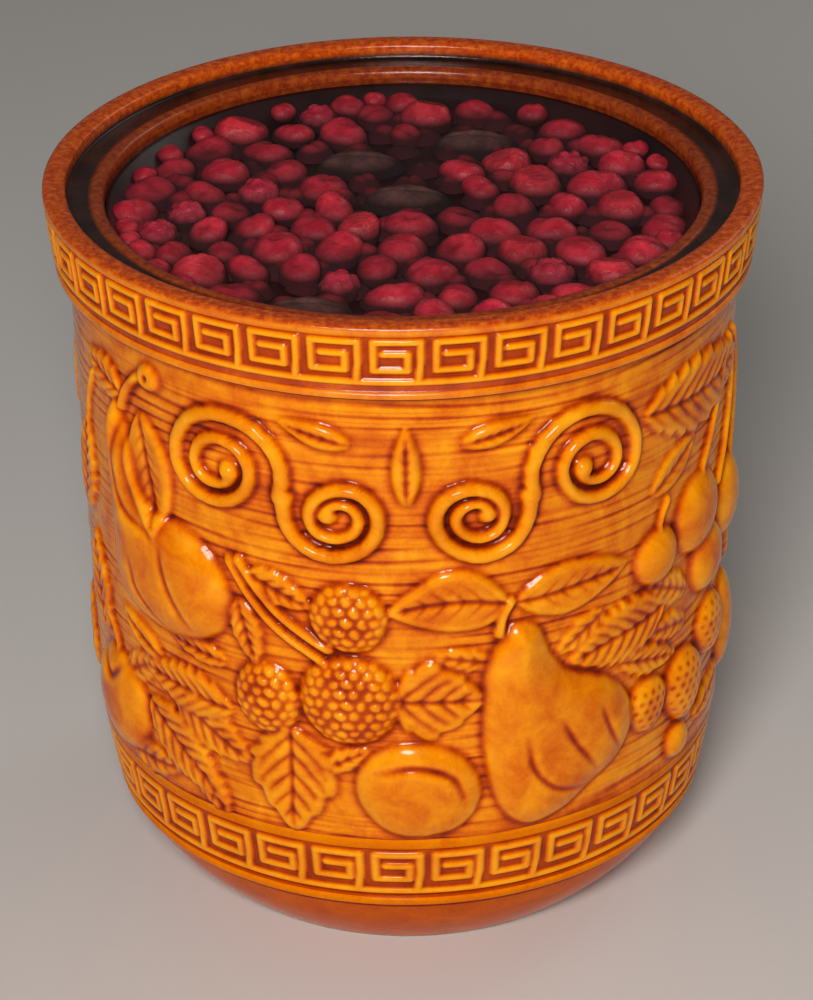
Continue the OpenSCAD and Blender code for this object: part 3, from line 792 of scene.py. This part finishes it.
def key_tile(name, z_low, z_high, ground_at, units, path, stroke, rail_z, rail_half, steps_round, step):
    """path is the stroke's middle line as shares of the pitch and heights; the tile is bent to the pot."""
    rows = int(round((z_high - z_low) / step)) + 1
    U, V = np.meshgrid(np.linspace(0, 1, steps_round + 1), np.linspace(z_low, z_high, rows))
    pitch = 2 * math.pi * ground_at((z_low + z_high) / 2) / units
    gap = np.full(U.shape, far)
    for shift in (-1, 0, 1):
        near, _ = distance_to([((u + shift) * pitch, z) for u, z in path], U * pitch, V)
        gap = np.minimum(gap, near)
    t = np.clip(gap / (stroke / 2), 0, 1)
    rail_t = np.clip(np.abs(V - rail_z) / rail_half, 0, 1)
    height = np.maximum(key_rise * (1 - t**2.2) ** 0.7, key_rise * (1 - rail_t**2.2) ** 0.6)
    fade = np.clip(np.minimum(V - z_low, z_high - V) / 0.5, 0, 1)
    low = height < 0.02
    height = height * fade
    angle = (U - 0.5) * 360 / units
    outer = around(angle, ground_at(V) + key_lift * fade + height, V).reshape(-1, 3)
    back = [around(angle[0], ground_at(z) - key_back, z) for z in (z_low, z_high)]
    blurred = soften(height[:, :-1], hollow_reach / step, hollow_reach / (pitch / steps_round))
    blurred = np.concatenate([blurred, blurred[:, :1]], 1)
    tile_pool = np.clip(0.45 - 0.29 * height / key_rise + 0.26 * (blurred - height) + 0.03 * low, 0, 1)
    values = np.concatenate([tile_pool.ravel(), np.ones(2 * len(angle[0]))])
    return mesh_object(name, np.concatenate([outer] + back), backed(rows, steps_round + 1), {"pool_and_shade": values})


rim_units, base_units = 38, 33
rim_key = [(0.83, 230.6), (0.865, 237.5), (0.865, 244.4), (0.115, 244.4), (0.115, 234.5), (0.66, 234.5),
           (0.66, 240.2), (0.27, 240.2)]
base_key = [(0.80, 37.2), (0.84, 44), (0.84, 52.0), (0.10, 52.0), (0.10, 41.7), (0.67, 41.7),
            (0.67, 47.3), (0.27, 47.3)]
rim_tile = key_tile("rim_keys", 228.8, 246.0, rim_ground, rim_units, rim_key, 2.7, 230.2, 1.3, 28, 0.6)
base_tile = key_tile("base_keys", 34.2, 54.6, base_ground, base_units, base_key, 3.2, 36.6, 1.5, 30, 0.66)
tell(rim_tile, base_tile)

# %% [markdown]
# ### Trees of nodes, written short
# Geometry Nodes and materials are both trees: nodes, and links from outputs to inputs. Three helpers
# keep them readable below. One sets or links a node's inputs by name, one adds a node, and one does
# sums. Python's names can't hold a space, so an underscore stands for it in the names of inputs.

# %% Helpers for trees
def feed(tree, socket, value):
    """Links another node's output to a socket, or sets a plain value on it."""
    if hasattr(value, "is_linked"):
        tree.links.new(value, socket)
    else:
        socket.default_value = value


def put(tree, made, **values):
    for label, value in values.items():
        feed(tree, made.inputs[label.replace("_", " ")], value)
    return made.outputs


def node(tree, kind, settings=None, **values):
    """Adds a node by its type, with its settings and inputs, and gives its outputs back."""
    made = tree.nodes.new(kind)
    for key, value in (settings or {}).items():
        setattr(made, key, value)
    return put(tree, made, **values)


def sum_of(tree, operation, *terms, clamp=False):
    made = tree.nodes.new("ShaderNodeMath")
    made.operation = operation
    made.use_clamp = clamp
    for socket, term in zip(made.inputs, terms):
        feed(tree, socket, term)
    return made.outputs[0]


def new_tree(kind, name, inputs, outputs):
    """A tree with inputs (name, type, perhaps a value) and outputs (name, type), and its two end nodes."""
    tree = bpy.data.node_groups.new(name, kind)
    for label, socket_type, *value in inputs:
        made = tree.interface.new_socket(label, in_out="INPUT", socket_type="NodeSocket" + socket_type)
        if value:
            made.default_value = value[0]
    for label, socket_type in outputs:
        tree.interface.new_socket(label, in_out="OUTPUT", socket_type="NodeSocket" + socket_type)
    return tree, tree.nodes.new("NodeGroupInput").outputs, tree.nodes.new("NodeGroupOutput")


# %% Set the tiles in a ring with Geometry Nodes
def ring_tree():
    """Repeats the object's own mesh round the Z axis and welds the tiles."""
    tree, given, result = new_tree("GeometryNodeTree", "key_ring", [
        ("Tile", "Geometry"), ("Keys", "Int"), ("First turn", "Float"), ("Weld", "Float"),
        ("Glaze", "Material")], [("Band", "Geometry")])
    line = node(tree, "GeometryNodeMeshLine", {"mode": "OFFSET"}, Count=given["Keys"], Offset=(0, 0, 0))
    index = node(tree, "GeometryNodeInputIndex")[0]
    step = sum_of(tree, "DIVIDE", 2 * math.pi, given["Keys"])
    turn = sum_of(tree, "MULTIPLY_ADD", index, step, given["First turn"])
    spread = node(tree, "GeometryNodeInstanceOnPoints", Points=line["Mesh"], Instance=given["Tile"],
                  Rotation=node(tree, "ShaderNodeCombineXYZ", Z=turn)[0])
    real = node(tree, "GeometryNodeRealizeInstances", Geometry=spread["Instances"])
    weld = node(tree, "GeometryNodeMergeByDistance", Geometry=real["Geometry"], Distance=given["Weld"])
    paint = node(tree, "GeometryNodeSetMaterial", Geometry=weld["Geometry"], Material=given["Glaze"])
    put(tree, result, Band=paint["Geometry"])
    return tree


def grown(obj, tree, values):
    """Runs a tree on an object with these named inputs and returns the result as a plain mesh object."""
    mod = obj.modifiers.new("grow", "NODES")
    mod.node_group = tree
    for item in tree.interface.items_tree:
        if item.in_out == "INPUT" and item.name in values:
            mod[item.identifier] = values[item.name]
    ready = obj.evaluated_get(bpy.context.evaluated_depsgraph_get())
    mesh = bpy.data.meshes.new_from_object(ready)
    obj.modifiers.remove(mod)
    obj.data = mesh
    smooth_faces(mesh)
    return obj


# %% [markdown]
# ## Glaze
# One recipe serves the whole pot. A value for each point picks the colour: pale honey on crests, amber
# on the flat, red-brown in hollows, nearly black where the glaze gathers; the same value also carries
# painted shade under the rim and above the base. Slow and fast noise break it up as a kiln does, and a
# fine bump stands for the slight orange peel. Between the cut grooves of the combed ground lie finer
# streaks: a noise that is squeezed in height and stretched round the pot.

# %% Noise and ramps
def noise(tree, vector, scale, detail=3.0, rough=0.5, distortion=0.0):
    return node(tree, "ShaderNodeTexNoise", Vector=vector, Scale=scale, Detail=detail, Roughness=rough,
                Distortion=distortion)["Fac"]


def ramp(tree, factor, stops):
    made = tree.nodes.new("ShaderNodeValToRGB")
    made.color_ramp.interpolation = "EASE" if len(stops) == 2 else "LINEAR"
    bar = made.color_ramp.elements
    while len(bar) < len(stops):
        bar.new(0.5)
    for element, (place, colour) in zip(bar, stops):
        element.position = place
        element.color = (*colour, 1)
    return put(tree, made, Fac=factor)["Color"]


def blend_colours(tree, factor, a, b):
    return node(tree, "ShaderNodeMix", {"data_type": "RGBA"}, Factor=factor, A=a, B=b)["Result"]


def shares(tree, value, low, high):
    """0 where the value is at low, 1 where it is at high."""
    return node(tree, "ShaderNodeMapRange", None, Value=value, From_Min=low, From_Max=high)["Result"]


# %% Fine streaks of the combed ground
combed, given, out = new_tree("ShaderNodeTree", "combed_ground", [
    ("Vector", "Vector"), ("Lines per metre", "Float", 330.0)], [("Line", "Float")])
squeeze = node(combed, "ShaderNodeMapping", Vector=given["Vector"], Scale=(0.06, 0.06, 1.0))["Vector"]
scaled = combed.nodes.new("ShaderNodeVectorMath")
scaled.operation = "SCALE"
feed(combed, scaled.inputs[0], squeeze)
streak = noise(combed, put(combed, scaled, Scale=given["Lines per metre"])[0], 1.0, 1.5, 0.45, 0.35)
put(combed, out, Line=shares(combed, streak, 0.46, 0.68))
print(combed.name, len(combed.nodes), "nodes")

# %% Glaze colour by depth, painted shade included
honey, given, out = new_tree("ShaderNodeTree", "honey_glaze", [
    ("Vector", "Vector"), ("Pool", "Float", 0.3), ("Cloud", "Float", 0.25)],
    [("Colour", "Color"), ("Roughness", "Float"), ("Peel", "Float")])
cloud = noise(honey, given["Vector"], 75.0, 5.0, 0.62, 0.4)
speck = noise(honey, given["Vector"], 900.0, 2.0, 0.5)
spread = sum_of(honey, "MULTIPLY", sum_of(honey, "SUBTRACT", cloud, 0.5), given["Cloud"])
grit = sum_of(honey, "MULTIPLY_ADD", speck, 0.10, -0.05)
# This sum carries painted shade as well as the glaze's own depth.
depth = sum_of(honey, "ADD", sum_of(honey, "ADD", given["Pool"], spread), grit, clamp=True)
colour = ramp(honey, depth, [
    (0.00, (0.92, 0.36, 0.006)), (0.17, (0.80, 0.235, 0.001)), (0.33, (0.66, 0.122, 0.0005)),
    (0.50, (0.43, 0.048, 0.0005)), (0.70, (0.19, 0.012, 0.0005)), (1.00, (0.045, 0.003, 0.0005))])
put(honey, out, Colour=colour, Roughness=sum_of(honey, "MULTIPLY_ADD", cloud, 0.10, 0.08),
    Peel=noise(honey, given["Vector"], 420.0, 2.0, 0.5))
print(honey.name, len(honey.nodes), "nodes")

# %% [markdown]
# Each finish below is a material of its own that uses those groups. The wall adds the fine streaks,
# the rim a mottled red-brown top and painted shade in its gallery, the foot shows bare clay on its ring.

# %% Finishes of the crock
def material(name):
    mat = bpy.data.materials.new(name)
    mat.use_nodes = True
    tree = mat.node_tree
    return mat, tree, tree.nodes["Principled BSDF"], node(tree, "ShaderNodeTexCoord")["Object"]


def attribute(tree, name):
    return node(tree, "ShaderNodeAttribute", {"attribute_name": name})["Fac"]


def placed(tree, group, **values):
    return node(tree, "ShaderNodeGroup", {"node_tree": group}, **values)


def bump(tree, height, distance):
    return node(tree, "ShaderNodeBump", Height=height, Distance=distance)["Normal"]


streak_tint, streak_cut, peel_share = 0.05, -0.4, 0.10


def glaze(name, cloud, comb=False):
    mat, tree, shader, where = material(name)
    darkness = attribute(tree, "pool_and_shade")
    if comb:
        lines = placed(tree, combed, Vector=where)["Line"]
        on_ground = sum_of(tree, "MULTIPLY", lines, attribute(tree, "ground"))
        darkness = sum_of(tree, "MULTIPLY_ADD", on_ground, streak_tint, darkness)
    look = placed(tree, honey, Vector=where, Pool=darkness, Cloud=cloud)
    height = sum_of(tree, "MULTIPLY", look["Peel"], peel_share)
    if comb:
        height = sum_of(tree, "MULTIPLY_ADD", on_ground, streak_cut, height)
    put(tree, shader, Base_Color=look["Colour"], Roughness=look["Roughness"],
        Normal=bump(tree, height, 0.0004 if comb else 0.0003), Specular_IOR_Level=0.18)
    return mat


wall_glaze = glaze("glaze_on_relief", 0.75, comb=True)
key_glaze = glaze("glaze_on_keys", 0.45)

rim_glaze, tree, shader, where = material("glaze_on_rim")
look = placed(tree, honey, Vector=where, Pool=attribute(tree, "pool_and_shade"), Cloud=0.6)
mottle = noise(tree, where, 380.0, 5.0, 0.7)
mottled = ramp(tree, mottle, [(0.30, (0.27, 0.021, 0.003)), (0.46, (0.48, 0.054, 0.004)),
                              (0.58, (0.64, 0.105, 0.005)), (0.75, (0.74, 0.19, 0.012))])
# Painted shade in the gallery: a near-black brown, broken up by noise, blended in where the gallery value is
# high.
gallery_shade = noise(tree, where, 60.0, 4.0, 0.6)
dark = ramp(tree, gallery_shade, [(0.35, (0.010, 0.005, 0.004)), (0.70, (0.040, 0.012, 0.008))])
surface = blend_colours(tree, attribute(tree, "mottle"), look["Colour"], mottled)
put(tree, shader, Base_Color=blend_colours(tree, attribute(tree, "gallery_shade"), surface, dark),
    Roughness=sum_of(tree, "MULTIPLY_ADD", mottle, 0.20, 0.06), Normal=bump(tree, mottle, 0.0002),
    Specular_IOR_Level=0.36)

clay_rough = 0.85
base_glaze, tree, shader, where = material("glaze_on_base")
look = placed(tree, honey, Vector=where, Pool=attribute(tree, "pool_and_shade"), Cloud=0.3)
grain = noise(tree, where, 500.0, 4.0, 0.6)
clay = ramp(tree, grain, [(0.35, (0.40, 0.27, 0.17)), (0.65, (0.58, 0.43, 0.30))])
on_ring = attribute(tree, "bare")
rough = node(tree, "ShaderNodeMix", Factor=on_ring, A=look["Roughness"], B=clay_rough)["Result"]
put(tree, shader, Base_Color=blend_colours(tree, on_ring, look["Colour"], clay), Roughness=rough,
    Normal=bump(tree, look["Peel"], 0.0001), Specular_IOR_Level=0.03)
print("finishes:", [mat.name for mat in (wall_glaze, key_glaze, rim_glaze, base_glaze)])

# %% Put the finishes on and grow the bands
for panel in walls:
    panel.data.materials.append(wall_glaze)
rim.data.materials.append(rim_glaze)
base.data.materials.append(base_glaze)
tree = ring_tree()
weld = 0.00004
rim_turn, base_turn = math.radians(-1.1), math.radians(-2.0)
rim_keys = grown(rim_tile, tree, {
    "Keys": rim_units, "First turn": rim_turn, "Weld": weld, "Glaze": key_glaze})
base_keys = grown(base_tile, tree, {
    "Keys": base_units, "First turn": base_turn, "Weld": weld, "Glaze": key_glaze})
tell(rim_keys, base_keys)

# %% [markdown]
# ## The fruit
# The CAD model says where each fruit floats and how big it is. Its solids are loose triangles, so
# the corners are merged by place and linked into islands first; each island gives a middle and a size.
# Over these places Geometry Nodes sets natural shapes, each with its own turn.

# %% Where each fruit lies
def islands(name):
    """(middle, half sizes) in millimetres of each separate solid in a CAD node."""
    bm = bmesh.new()
    bm.from_mesh(frame["nodes"][name].data)
    bmesh.ops.remove_doubles(bm, verts=bm.verts, dist=1e-5)
    seen = set()
    found = []
    for start in bm.verts:
        if start.index in seen:
            continue
        stack, group = [start], []
        seen.add(start.index)
        while stack:
            v = stack.pop()
            group.append(v.co / mm)
            for e in v.link_edges:
                w = e.other_vert(v)
                if w.index not in seen:
                    seen.add(w.index)
                    stack.append(w)
        co = np.array(group)
        found.append(((co.max(0) + co.min(0)) / 2, (co.max(0) - co.min(0)) / 2))
    bm.free()
    return found


floating_nodes = ("sour_cherries", "strawberry_pieces", "raspberries", "plums")
places = {name: islands(name) for name in floating_nodes}
print({name: len(found) for name, found in places.items()})

# %% [markdown]
# A stoned cherry that has lain in rum is soft, slightly wrinkled and has a hole where its stone was.
# Three variants are enough, since each gets its own turn and size. All start from a ball of rings
# whose points move in and out by smooth waves.

# %% Shapes of the fruit
def ball(name, rings, cols_round, shape):
    """A closed ball with poles on Z whose points are moved by shape(directions)."""
    theta = np.linspace(0, math.pi, rings + 1)[1:-1]
    phi = np.linspace(0, 2 * math.pi, cols_round, endpoint=False)
    T, P = np.meshgrid(theta, phi, indexing="ij")
    d = np.stack([np.sin(T) * np.cos(P), np.sin(T) * np.sin(P), -np.cos(T)], -1).reshape(-1, 3)
    d = np.concatenate([d, [[0, 0, -1], [0, 0, 1]]])
    return mesh_object(name, shape(d) / mm, capped(rings - 1, cols_round))


def lump(d, seed, amount, waves=6):
    """Smooth waves over a ball."""
    rng = np.random.default_rng(seed)
    total = np.zeros(len(d))
    for _ in range(waves):
        axis = rng.normal(size=3)
        axis /= np.linalg.norm(axis)
        total += np.cos((d @ axis) * rng.uniform(2, 5) + rng.uniform(0, 6.28))
    return amount * total / waves


def polar(d):
    """Angle from the top and angle round of each direction."""
    return np.arccos(np.clip(d[:, 2], -1, 1)), np.arctan2(d[:, 1], d[:, 0])


def cherry_shape(seed, hole, squash):
    def shape(d):
        r = 1 + lump(d, seed, 0.17)
        top = np.clip(d[:, 2], 0, 1)
        r = r - hole * np.exp(-((np.arccos(np.clip(top, -1, 1)) / 0.30) ** 2))
        r = r - 0.12 * np.exp(-(((d[:, 0] + 0.1) / 0.16) ** 2)) * top
        p = d * r[:, None]
        p[:, 2] *= squash
        return p * 0.93
    return shape


def berry_shape(d):
    """A raspberry: beads in rings round the fruit."""
    theta, phi = polar(d)
    rows = theta * 4.5
    beads = np.abs(np.sin(rows)) * np.abs(np.cos(phi * 5 + np.floor(rows / math.pi) * 1.57))
    return d * (0.82 + 0.16 * np.sqrt(beads))[:, None]


def strawberry_shape(d):
    """A lump cut flat above and below, with shallow pips in staggered rows."""
    theta, phi = polar(d)
    rows = theta * 11
    pips = np.clip(np.sin(rows) * np.cos(phi * 9 + 1.57 * np.floor(rows / math.pi)), 0, 1)
    p = d * (0.96 + lump(d, 5, 0.26) - 0.05 * pips)[:, None]
    p[:, 2] = np.clip(p[:, 2], -0.55, 0.78)
    p[:, 0] *= 1.0 + 0.15 * d[:, 1]
    return p


def plum_shape(d):
    """A wrinkled plum with its long furrow."""
    wrinkles = 0.015 * np.sin(14 * d[:, 0] + 3 * np.sin(5 * d[:, 1]))
    furrow = 0.10 * np.exp(-((d[:, 1] / 0.13) ** 2)) * np.clip(d[:, 2], 0, 1)
    return d * (0.94 + lump(d, 11, 0.10) + wrinkles - furrow)[:, None]


# %% Grow fruit on their places with Geometry Nodes
def fruit_tree():
    """Sets a fruit on each point of a mesh, by the point's own size and turn."""
    tree, given, result = new_tree("GeometryNodeTree", "fruit_on_places", [
        ("Places", "Geometry"), ("Fruit", "Object"), ("Skin", "Material")], [("Fruits", "Geometry")])
    shape = node(tree, "GeometryNodeObjectInfo", Object=given["Fruit"])["Geometry"]
    size, turn = (node(tree, "GeometryNodeInputNamedAttribute", {"data_type": "FLOAT_VECTOR"}, Name=label)
                  for label in ("size", "turn"))
    spread = node(tree, "GeometryNodeInstanceOnPoints", Points=given["Places"], Instance=shape,
                  Rotation=turn["Attribute"], Scale=size["Attribute"])
    real = node(tree, "GeometryNodeRealizeInstances", Geometry=spread["Instances"])
    paint = node(tree, "GeometryNodeSetMaterial", Geometry=real["Geometry"], Material=given["Skin"])
    put(tree, result, Fruits=paint["Geometry"])
    return tree


def places_mesh(name, spots):
    """Loose points with a size and a turn each; spots are (middle, sizes, turn)."""
    obj = mesh_object(name, [s[0] for s in spots], [])
    for label, k, unit in (("size", 1, mm), ("turn", 2, 1)):
        values = np.array([s[k] for s in spots], np.float32).ravel() * unit
        obj.data.attributes.new(label, "FLOAT_VECTOR", "POINT").data.foreach_set("vector", values)
    return obj


def joined(name, objects, mat):
    """One object from several meshes that share one material."""
    bm = bmesh.new()
    for obj in objects:
        bm.from_mesh(obj.data)
    mesh = bpy.data.meshes.new(name)
    bm.to_mesh(mesh)
    bm.free()
    mesh.materials.append(mat)
    mesh.polygons.foreach_set("material_index", [0] * len(mesh.polygons))
    smooth_faces(mesh)
    made = scene_object(name, mesh)
    for obj in objects:
        bpy.data.objects.remove(obj)
    return made


# %% [markdown]
# Fruit under the surface fades into the dark of the rum, so the colour of each skin depends on its
# depth: bright crimson where it breaks the surface, wine red just under it and nearly black below.

# %% Skins of the fruit
def skin(name, pale, full, deep, rough=0.05, grain=420.0):
    mat, tree, shader, where = material(name)
    height = node(tree, "ShaderNodeSeparateXYZ", Vector=where)["Z"]
    under = shares(tree, height, (rum_z - 1.2) * mm, (rum_z - 6.2) * mm)
    patch = noise(tree, where, 130.0, 5.0, 0.65)
    flesh = ramp(tree, patch, [(0.35, full), (0.70, pale)])
    wet = sum_of(tree, "MULTIPLY_ADD", patch, 0.2, rough)
    put(tree, shader, Base_Color=blend_colours(tree, under, flesh, (*deep, 1)),
        Roughness=sum_of(tree, "MULTIPLY_ADD", under, 0.8, wet), Specular_IOR_Level=0.40,
        Normal=bump(tree, noise(tree, where, grain, 3.0, 0.6), 0.0005))
    return mat


cherry_skin = skin("cherry_skin", (0.92, 0.050, 0.085), (0.56, 0.016, 0.040), (0.040, 0.003, 0.006))
strawberry_skin = skin("strawberry_skin", (0.88, 0.055, 0.080), (0.56, 0.020, 0.038), (0.030, 0.003, 0.004),
                       0.08, 700.0)
raspberry_skin = skin("raspberry_skin", (0.85, 0.060, 0.110), (0.56, 0.020, 0.050), (0.022, 0.002, 0.005),
                      0.08, 800.0)
plum_skin = skin("plum_skin", (0.26, 0.100, 0.085), (0.100, 0.040, 0.036), (0.012, 0.005, 0.005),
                 0.35, 260.0)
print("skins:", [mat.name for mat in (cherry_skin, strawberry_skin, raspberry_skin, plum_skin)])

# %% Cherries, strawberry pieces, raspberries and plums
rng = np.random.default_rng(7)
full_turn = 6.28


def turns(tilt):
    return (rng.uniform(-tilt, tilt), rng.uniform(-tilt, tilt), rng.uniform(0, full_turn))


tree = fruit_tree()
variants = [ball(f"cherry_{n}", 14, 20, cherry_shape(n, hole, squash))
            for n, hole, squash in ((1, 0.30, 0.92), (2, 0.0, 0.86), (3, 0.10, 0.95))]
groups = [[], [], []]
for n, (middle, half) in enumerate(places["sour_cherries"]):
    r = float(half[0])
    lift = 0.30 * r - 3.0 * rng.random() ** 1.5
    sizes = (r * rng.uniform(0.94, 1.26), r * rng.uniform(0.88, 1.10), r * 0.80)
    groups[n % 3].append((middle + (0, 0, lift), sizes, turns(0.4)))
cherry_parts = []
for i, spots in enumerate(groups):
    given = {"Fruit": variants[i], "Skin": cherry_skin}
    cherry_parts.append(grown(places_mesh(f"cherries_{i}", spots), tree, given))
cherries = joined("cherries", cherry_parts, cherry_skin)


def fruit_piece(name, spots, shape, mat):
    piece = grown(places_mesh(name, spots), tree, {"Fruit": shape, "Skin": mat})
    bpy.data.objects.remove(shape)
    tell(piece)
    return piece


def spots_of(name, tilt, scale):
    return [(middle, tuple(float(v) * scale for v in half), turns(tilt)) for middle, half in places[name]]


strawberries = fruit_piece("strawberries", spots_of("strawberry_pieces", 0.3, 1.12),
                           ball("strawberry", 30, 44, strawberry_shape), strawberry_skin)
raspberries = fruit_piece("raspberry_fruit", spots_of("raspberries", 1.5, 1.0),
                          ball("raspberry", 22, 30, berry_shape), raspberry_skin)
plum_spots = [(middle + (0, 0, 0.8), tuple(map(float, half * (0.94, 0.9, 0.85))), (0, 0, 0))
              for middle, half in places["plums"]]
plum_piece = fruit_piece("plum_halves", plum_spots, ball("plum", 22, 32, plum_shape), plum_skin)

# %% [markdown]
# More fruit lies deeper, seen as dim shapes in the gaps. A staggered grid a little below the surface,
# shaken by a fixed seed, gives its places. Small ones then fill the edge wherever there is room.

# %% Fruit below the surface
low_spots = []
apart_x, apart_y = 15.5, 13.4
edge_places = 120
for j in range(-7, 8):
    for i in range(-7, 8):
        x = (i + 0.5 * (j % 2)) * apart_x + rng.uniform(-3, 3)
        y = j * apart_y + rng.uniform(-3, 3)
        r = rng.uniform(6.5, 8.5)
        if math.hypot(x, y) < throat_r - r - 1.5:
            low_spots.append(((x, y, rum_z - 3.0 - r - rng.uniform(0, 2.4)), (r, r, r), turns(0.6)))
floating = [(middle, half[0]) for found in places.values() for middle, half in found]
for n in range(edge_places):
    a, r = math.radians(n * 360 / edge_places), rng.uniform(4.0, 7.5)
    out_r = throat_r - r - 1.8
    x, y = out_r * math.sin(a), -out_r * math.cos(a)
    if min(math.hypot(x - m[0], y - m[1]) - 0.9 * h for m, h in floating) > 0.5 * r:
        spot = (x, y, rum_z - 0.8 * r - 1.3)
        low_spots.append((spot, (r * 1.1, r * 1.1, r * 0.8), turns(0.3)))
        floating.append((np.array(spot), r))
below = grown(places_mesh("fruit_below", low_spots), tree, {"Fruit": variants[2], "Skin": cherry_skin})
for shape in variants:
    bpy.data.objects.remove(shape)
print("fruit below the surface:", len(low_spots))

# %% [markdown]
# ## The rum
# Rum that has drawn from red fruit for months is dark and hardly clear. The body of it is a dark solid
# that ends a little under the surface, and a thin clear film with a soft rise at the wall is the
# surface itself: it carries the gloss and lets the fruit show through.

# %% Body and surface of the rum
def disc_solid(name, profile, count):
    """A turned solid that closes on the axis; profile runs from the lower axis point to the upper one."""
    a = 360 * np.arange(count) / count
    inner = profile[1:-1]
    rings = np.stack([around(a, r, z) for r, z in inner]).reshape(-1, 3)
    poles = [[0, 0, profile[0][1]], [0, 0, profile[-1][1]]]
    return mesh_object(name, np.concatenate([rings, poles]), capped(len(inner), count))


deep_z, film_z = rum_z - 9, rum_z - 0.9
rum_body = disc_solid("rum_body", [
    (0, 11.0), (70, 11.0), (88, 22), (93, 32), (98, 60), (102, 218), (97.0, 230),
    (97.0, rum_z - 1.1), (95.8, rum_z - 1.8), (93.5, rum_z - 4.5), (90, rum_z - 7.5), (84, deep_z),
    (40, deep_z), (0, deep_z)], 128)
film = disc_solid("rum_surface", [
    (0, film_z), (60, film_z), (96.9, film_z), (97.05, rum_z + 0.1), (97.05, rum_z + 0.9),
    (96.6, rum_z + 0.45), (95.8, rum_z + 0.12), (94.5, rum_z), (70, rum_z), (35, rum_z), (0, rum_z)], 160)

rum_dark, tree, shader, where = material("rum_depth")
murk = noise(tree, where, 40.0, 3.0, 0.6)
put(tree, shader, Base_Color=ramp(tree, murk, [(0.3, (0.006, 0.002, 0.002)), (0.7, (0.020, 0.004, 0.005))]),
    Roughness=sum_of(tree, "MULTIPLY_ADD", murk, 0.2, 0.3))
rum_body.data.materials.append(rum_dark)

rum_clear, tree, shader, where = material("rum_film")
haze = noise(tree, where, 30.0, 3.0, 0.5)
put(tree, shader, Base_Color=ramp(tree, haze, [(0.3, (0.020, 0.005, 0.005)), (0.7, (0.050, 0.010, 0.010))]),
    Alpha=sum_of(tree, "MULTIPLY_ADD", haze, 0.10, 0.06), Roughness=0.05, IOR=1.36,
    Normal=bump(tree, noise(tree, where, 45.0, 2.0, 0.5), 0.0006))
film.data.materials.append(rum_clear)
tell(rum_body, film)

# %% [markdown]
# ## What each piece stands for
# Every piece rides on the pot's one body, because nothing on it moves. Each says which CAD solids it
# is shown in place of, and these are hidden. The table also holds a finish name for each piece, which
# nothing here reads.

# %% Ride and replace
sprig_nodes = [n for n in frame["nodes"] if n.endswith("_sprig")] + ["scroll_ornament"]
root = "root" if "root" in frame["bodies"] else list(frame["bodies"])[0]
dressed = [
    (rim, ["crock"], "glaze"), (base, ["crock"], "glaze"), (rim_keys, ["rim_key_band"], "glaze_relief"),
    (base_keys, ["base_key_band"], "glaze_relief"), (cherries, ["sour_cherries"], "cherry"),
    (strawberries, ["strawberry_pieces"], "strawberry"), (raspberries, ["raspberries"], "raspberry"),
    (plum_piece, ["plums"], "plum"), (below, ["rum"], "cherry"), (rum_body, ["rum"], "rum"),
    (film, ["rum"], "rum")]
dressed += [(panel, ["crock"] + sprig_nodes, "glaze_relief") for panel in walls]
for piece, nodes, finish in dressed:
    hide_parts(*nodes)
    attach(piece, root)
print("pieces:", len(dressed), "triangles:",
      sum(sum(len(p.vertices) - 2 for p in o.data.polygons) for o, _, _ in dressed))

# %% [markdown]
# ## Floor, light and camera
# A pale floor and soft lamps show the glaze plainly. The key lamp hangs large and high near the
# viewer, a weaker one fills the left side, and a third behind gives the rim its edge. The camera stands
# in front and looks down at about 29 degrees with a long lens.

# %% Floor and world
floor_size = 12
bpy.ops.mesh.primitive_plane_add(size=floor_size, location=(0, 0, 0))
floor = bpy.context.object
floor.name = "floor"
floor_paint, tree, shader, where = material("floor_paint")
put(tree, shader, Base_Color=(0.66, 0.64, 0.62, 1), Roughness=0.7)
floor.data.materials.append(floor_paint)
world = bpy.data.worlds.new("studio")
world.use_nodes = True
put(world.node_tree, world.node_tree.nodes["Background"], Color=(0.80, 0.78, 0.75, 1), Strength=0.11)
bpy.context.scene.world = world
print("floor", floor_size, "m wide")


# %% Lamps
def lamp(name, place, aim, size, power):
    data = bpy.data.lights.new(name, "AREA")
    data.shape = "DISK"
    data.size = size
    data.energy = power
    data.color = (1, 0.97, 0.93)
    obj = scene_object(name, data)
    obj.location = place
    obj.rotation_euler = (Vector(aim) - Vector(place)).to_track_quat("-Z", "Y").to_euler()


lamp("key_lamp", (-0.15, -1.45, 1.05), (0, 0, 0.13), 0.5, 27)
lamp("fill_lamp", (-1.2, -0.9, 0.8), (0, 0, 0.12), 0.9, 0.6)
lamp("back_lamp", (1.3, 1.0, 1.3), (0, 0, 0.12), 0.9, 3.5)

# %% Camera
camera = scene_object("camera", bpy.data.cameras.new("camera"))
focal_pixels, frame_pixels, sensor = 3800, 1000, 36
eye = (0, -1.13798, 0.75039)
pitch, roll = 0.5011, -0.0114
ahead = Vector((0, math.cos(pitch), -math.sin(pitch)))
level = Vector((1, 0, 0))
upright = Vector((0, math.sin(pitch), math.cos(pitch)))
right = level * math.cos(roll) + upright * math.sin(roll)
up = upright * math.cos(roll) - level * math.sin(roll)
turn = Matrix((right, up, -ahead)).transposed().to_4x4()
camera.matrix_world = Matrix.Translation(eye) @ turn
camera.data.sensor_fit = "VERTICAL"
camera.data.sensor_height = sensor
camera.data.lens = focal_pixels * sensor / frame_pixels
bpy.context.scene.camera = camera
bpy.context.scene.view_settings.view_transform = "Standard"
print("lens", round(camera.data.lens, 1), "mm, looking down", round(math.degrees(pitch), 1), "degrees")
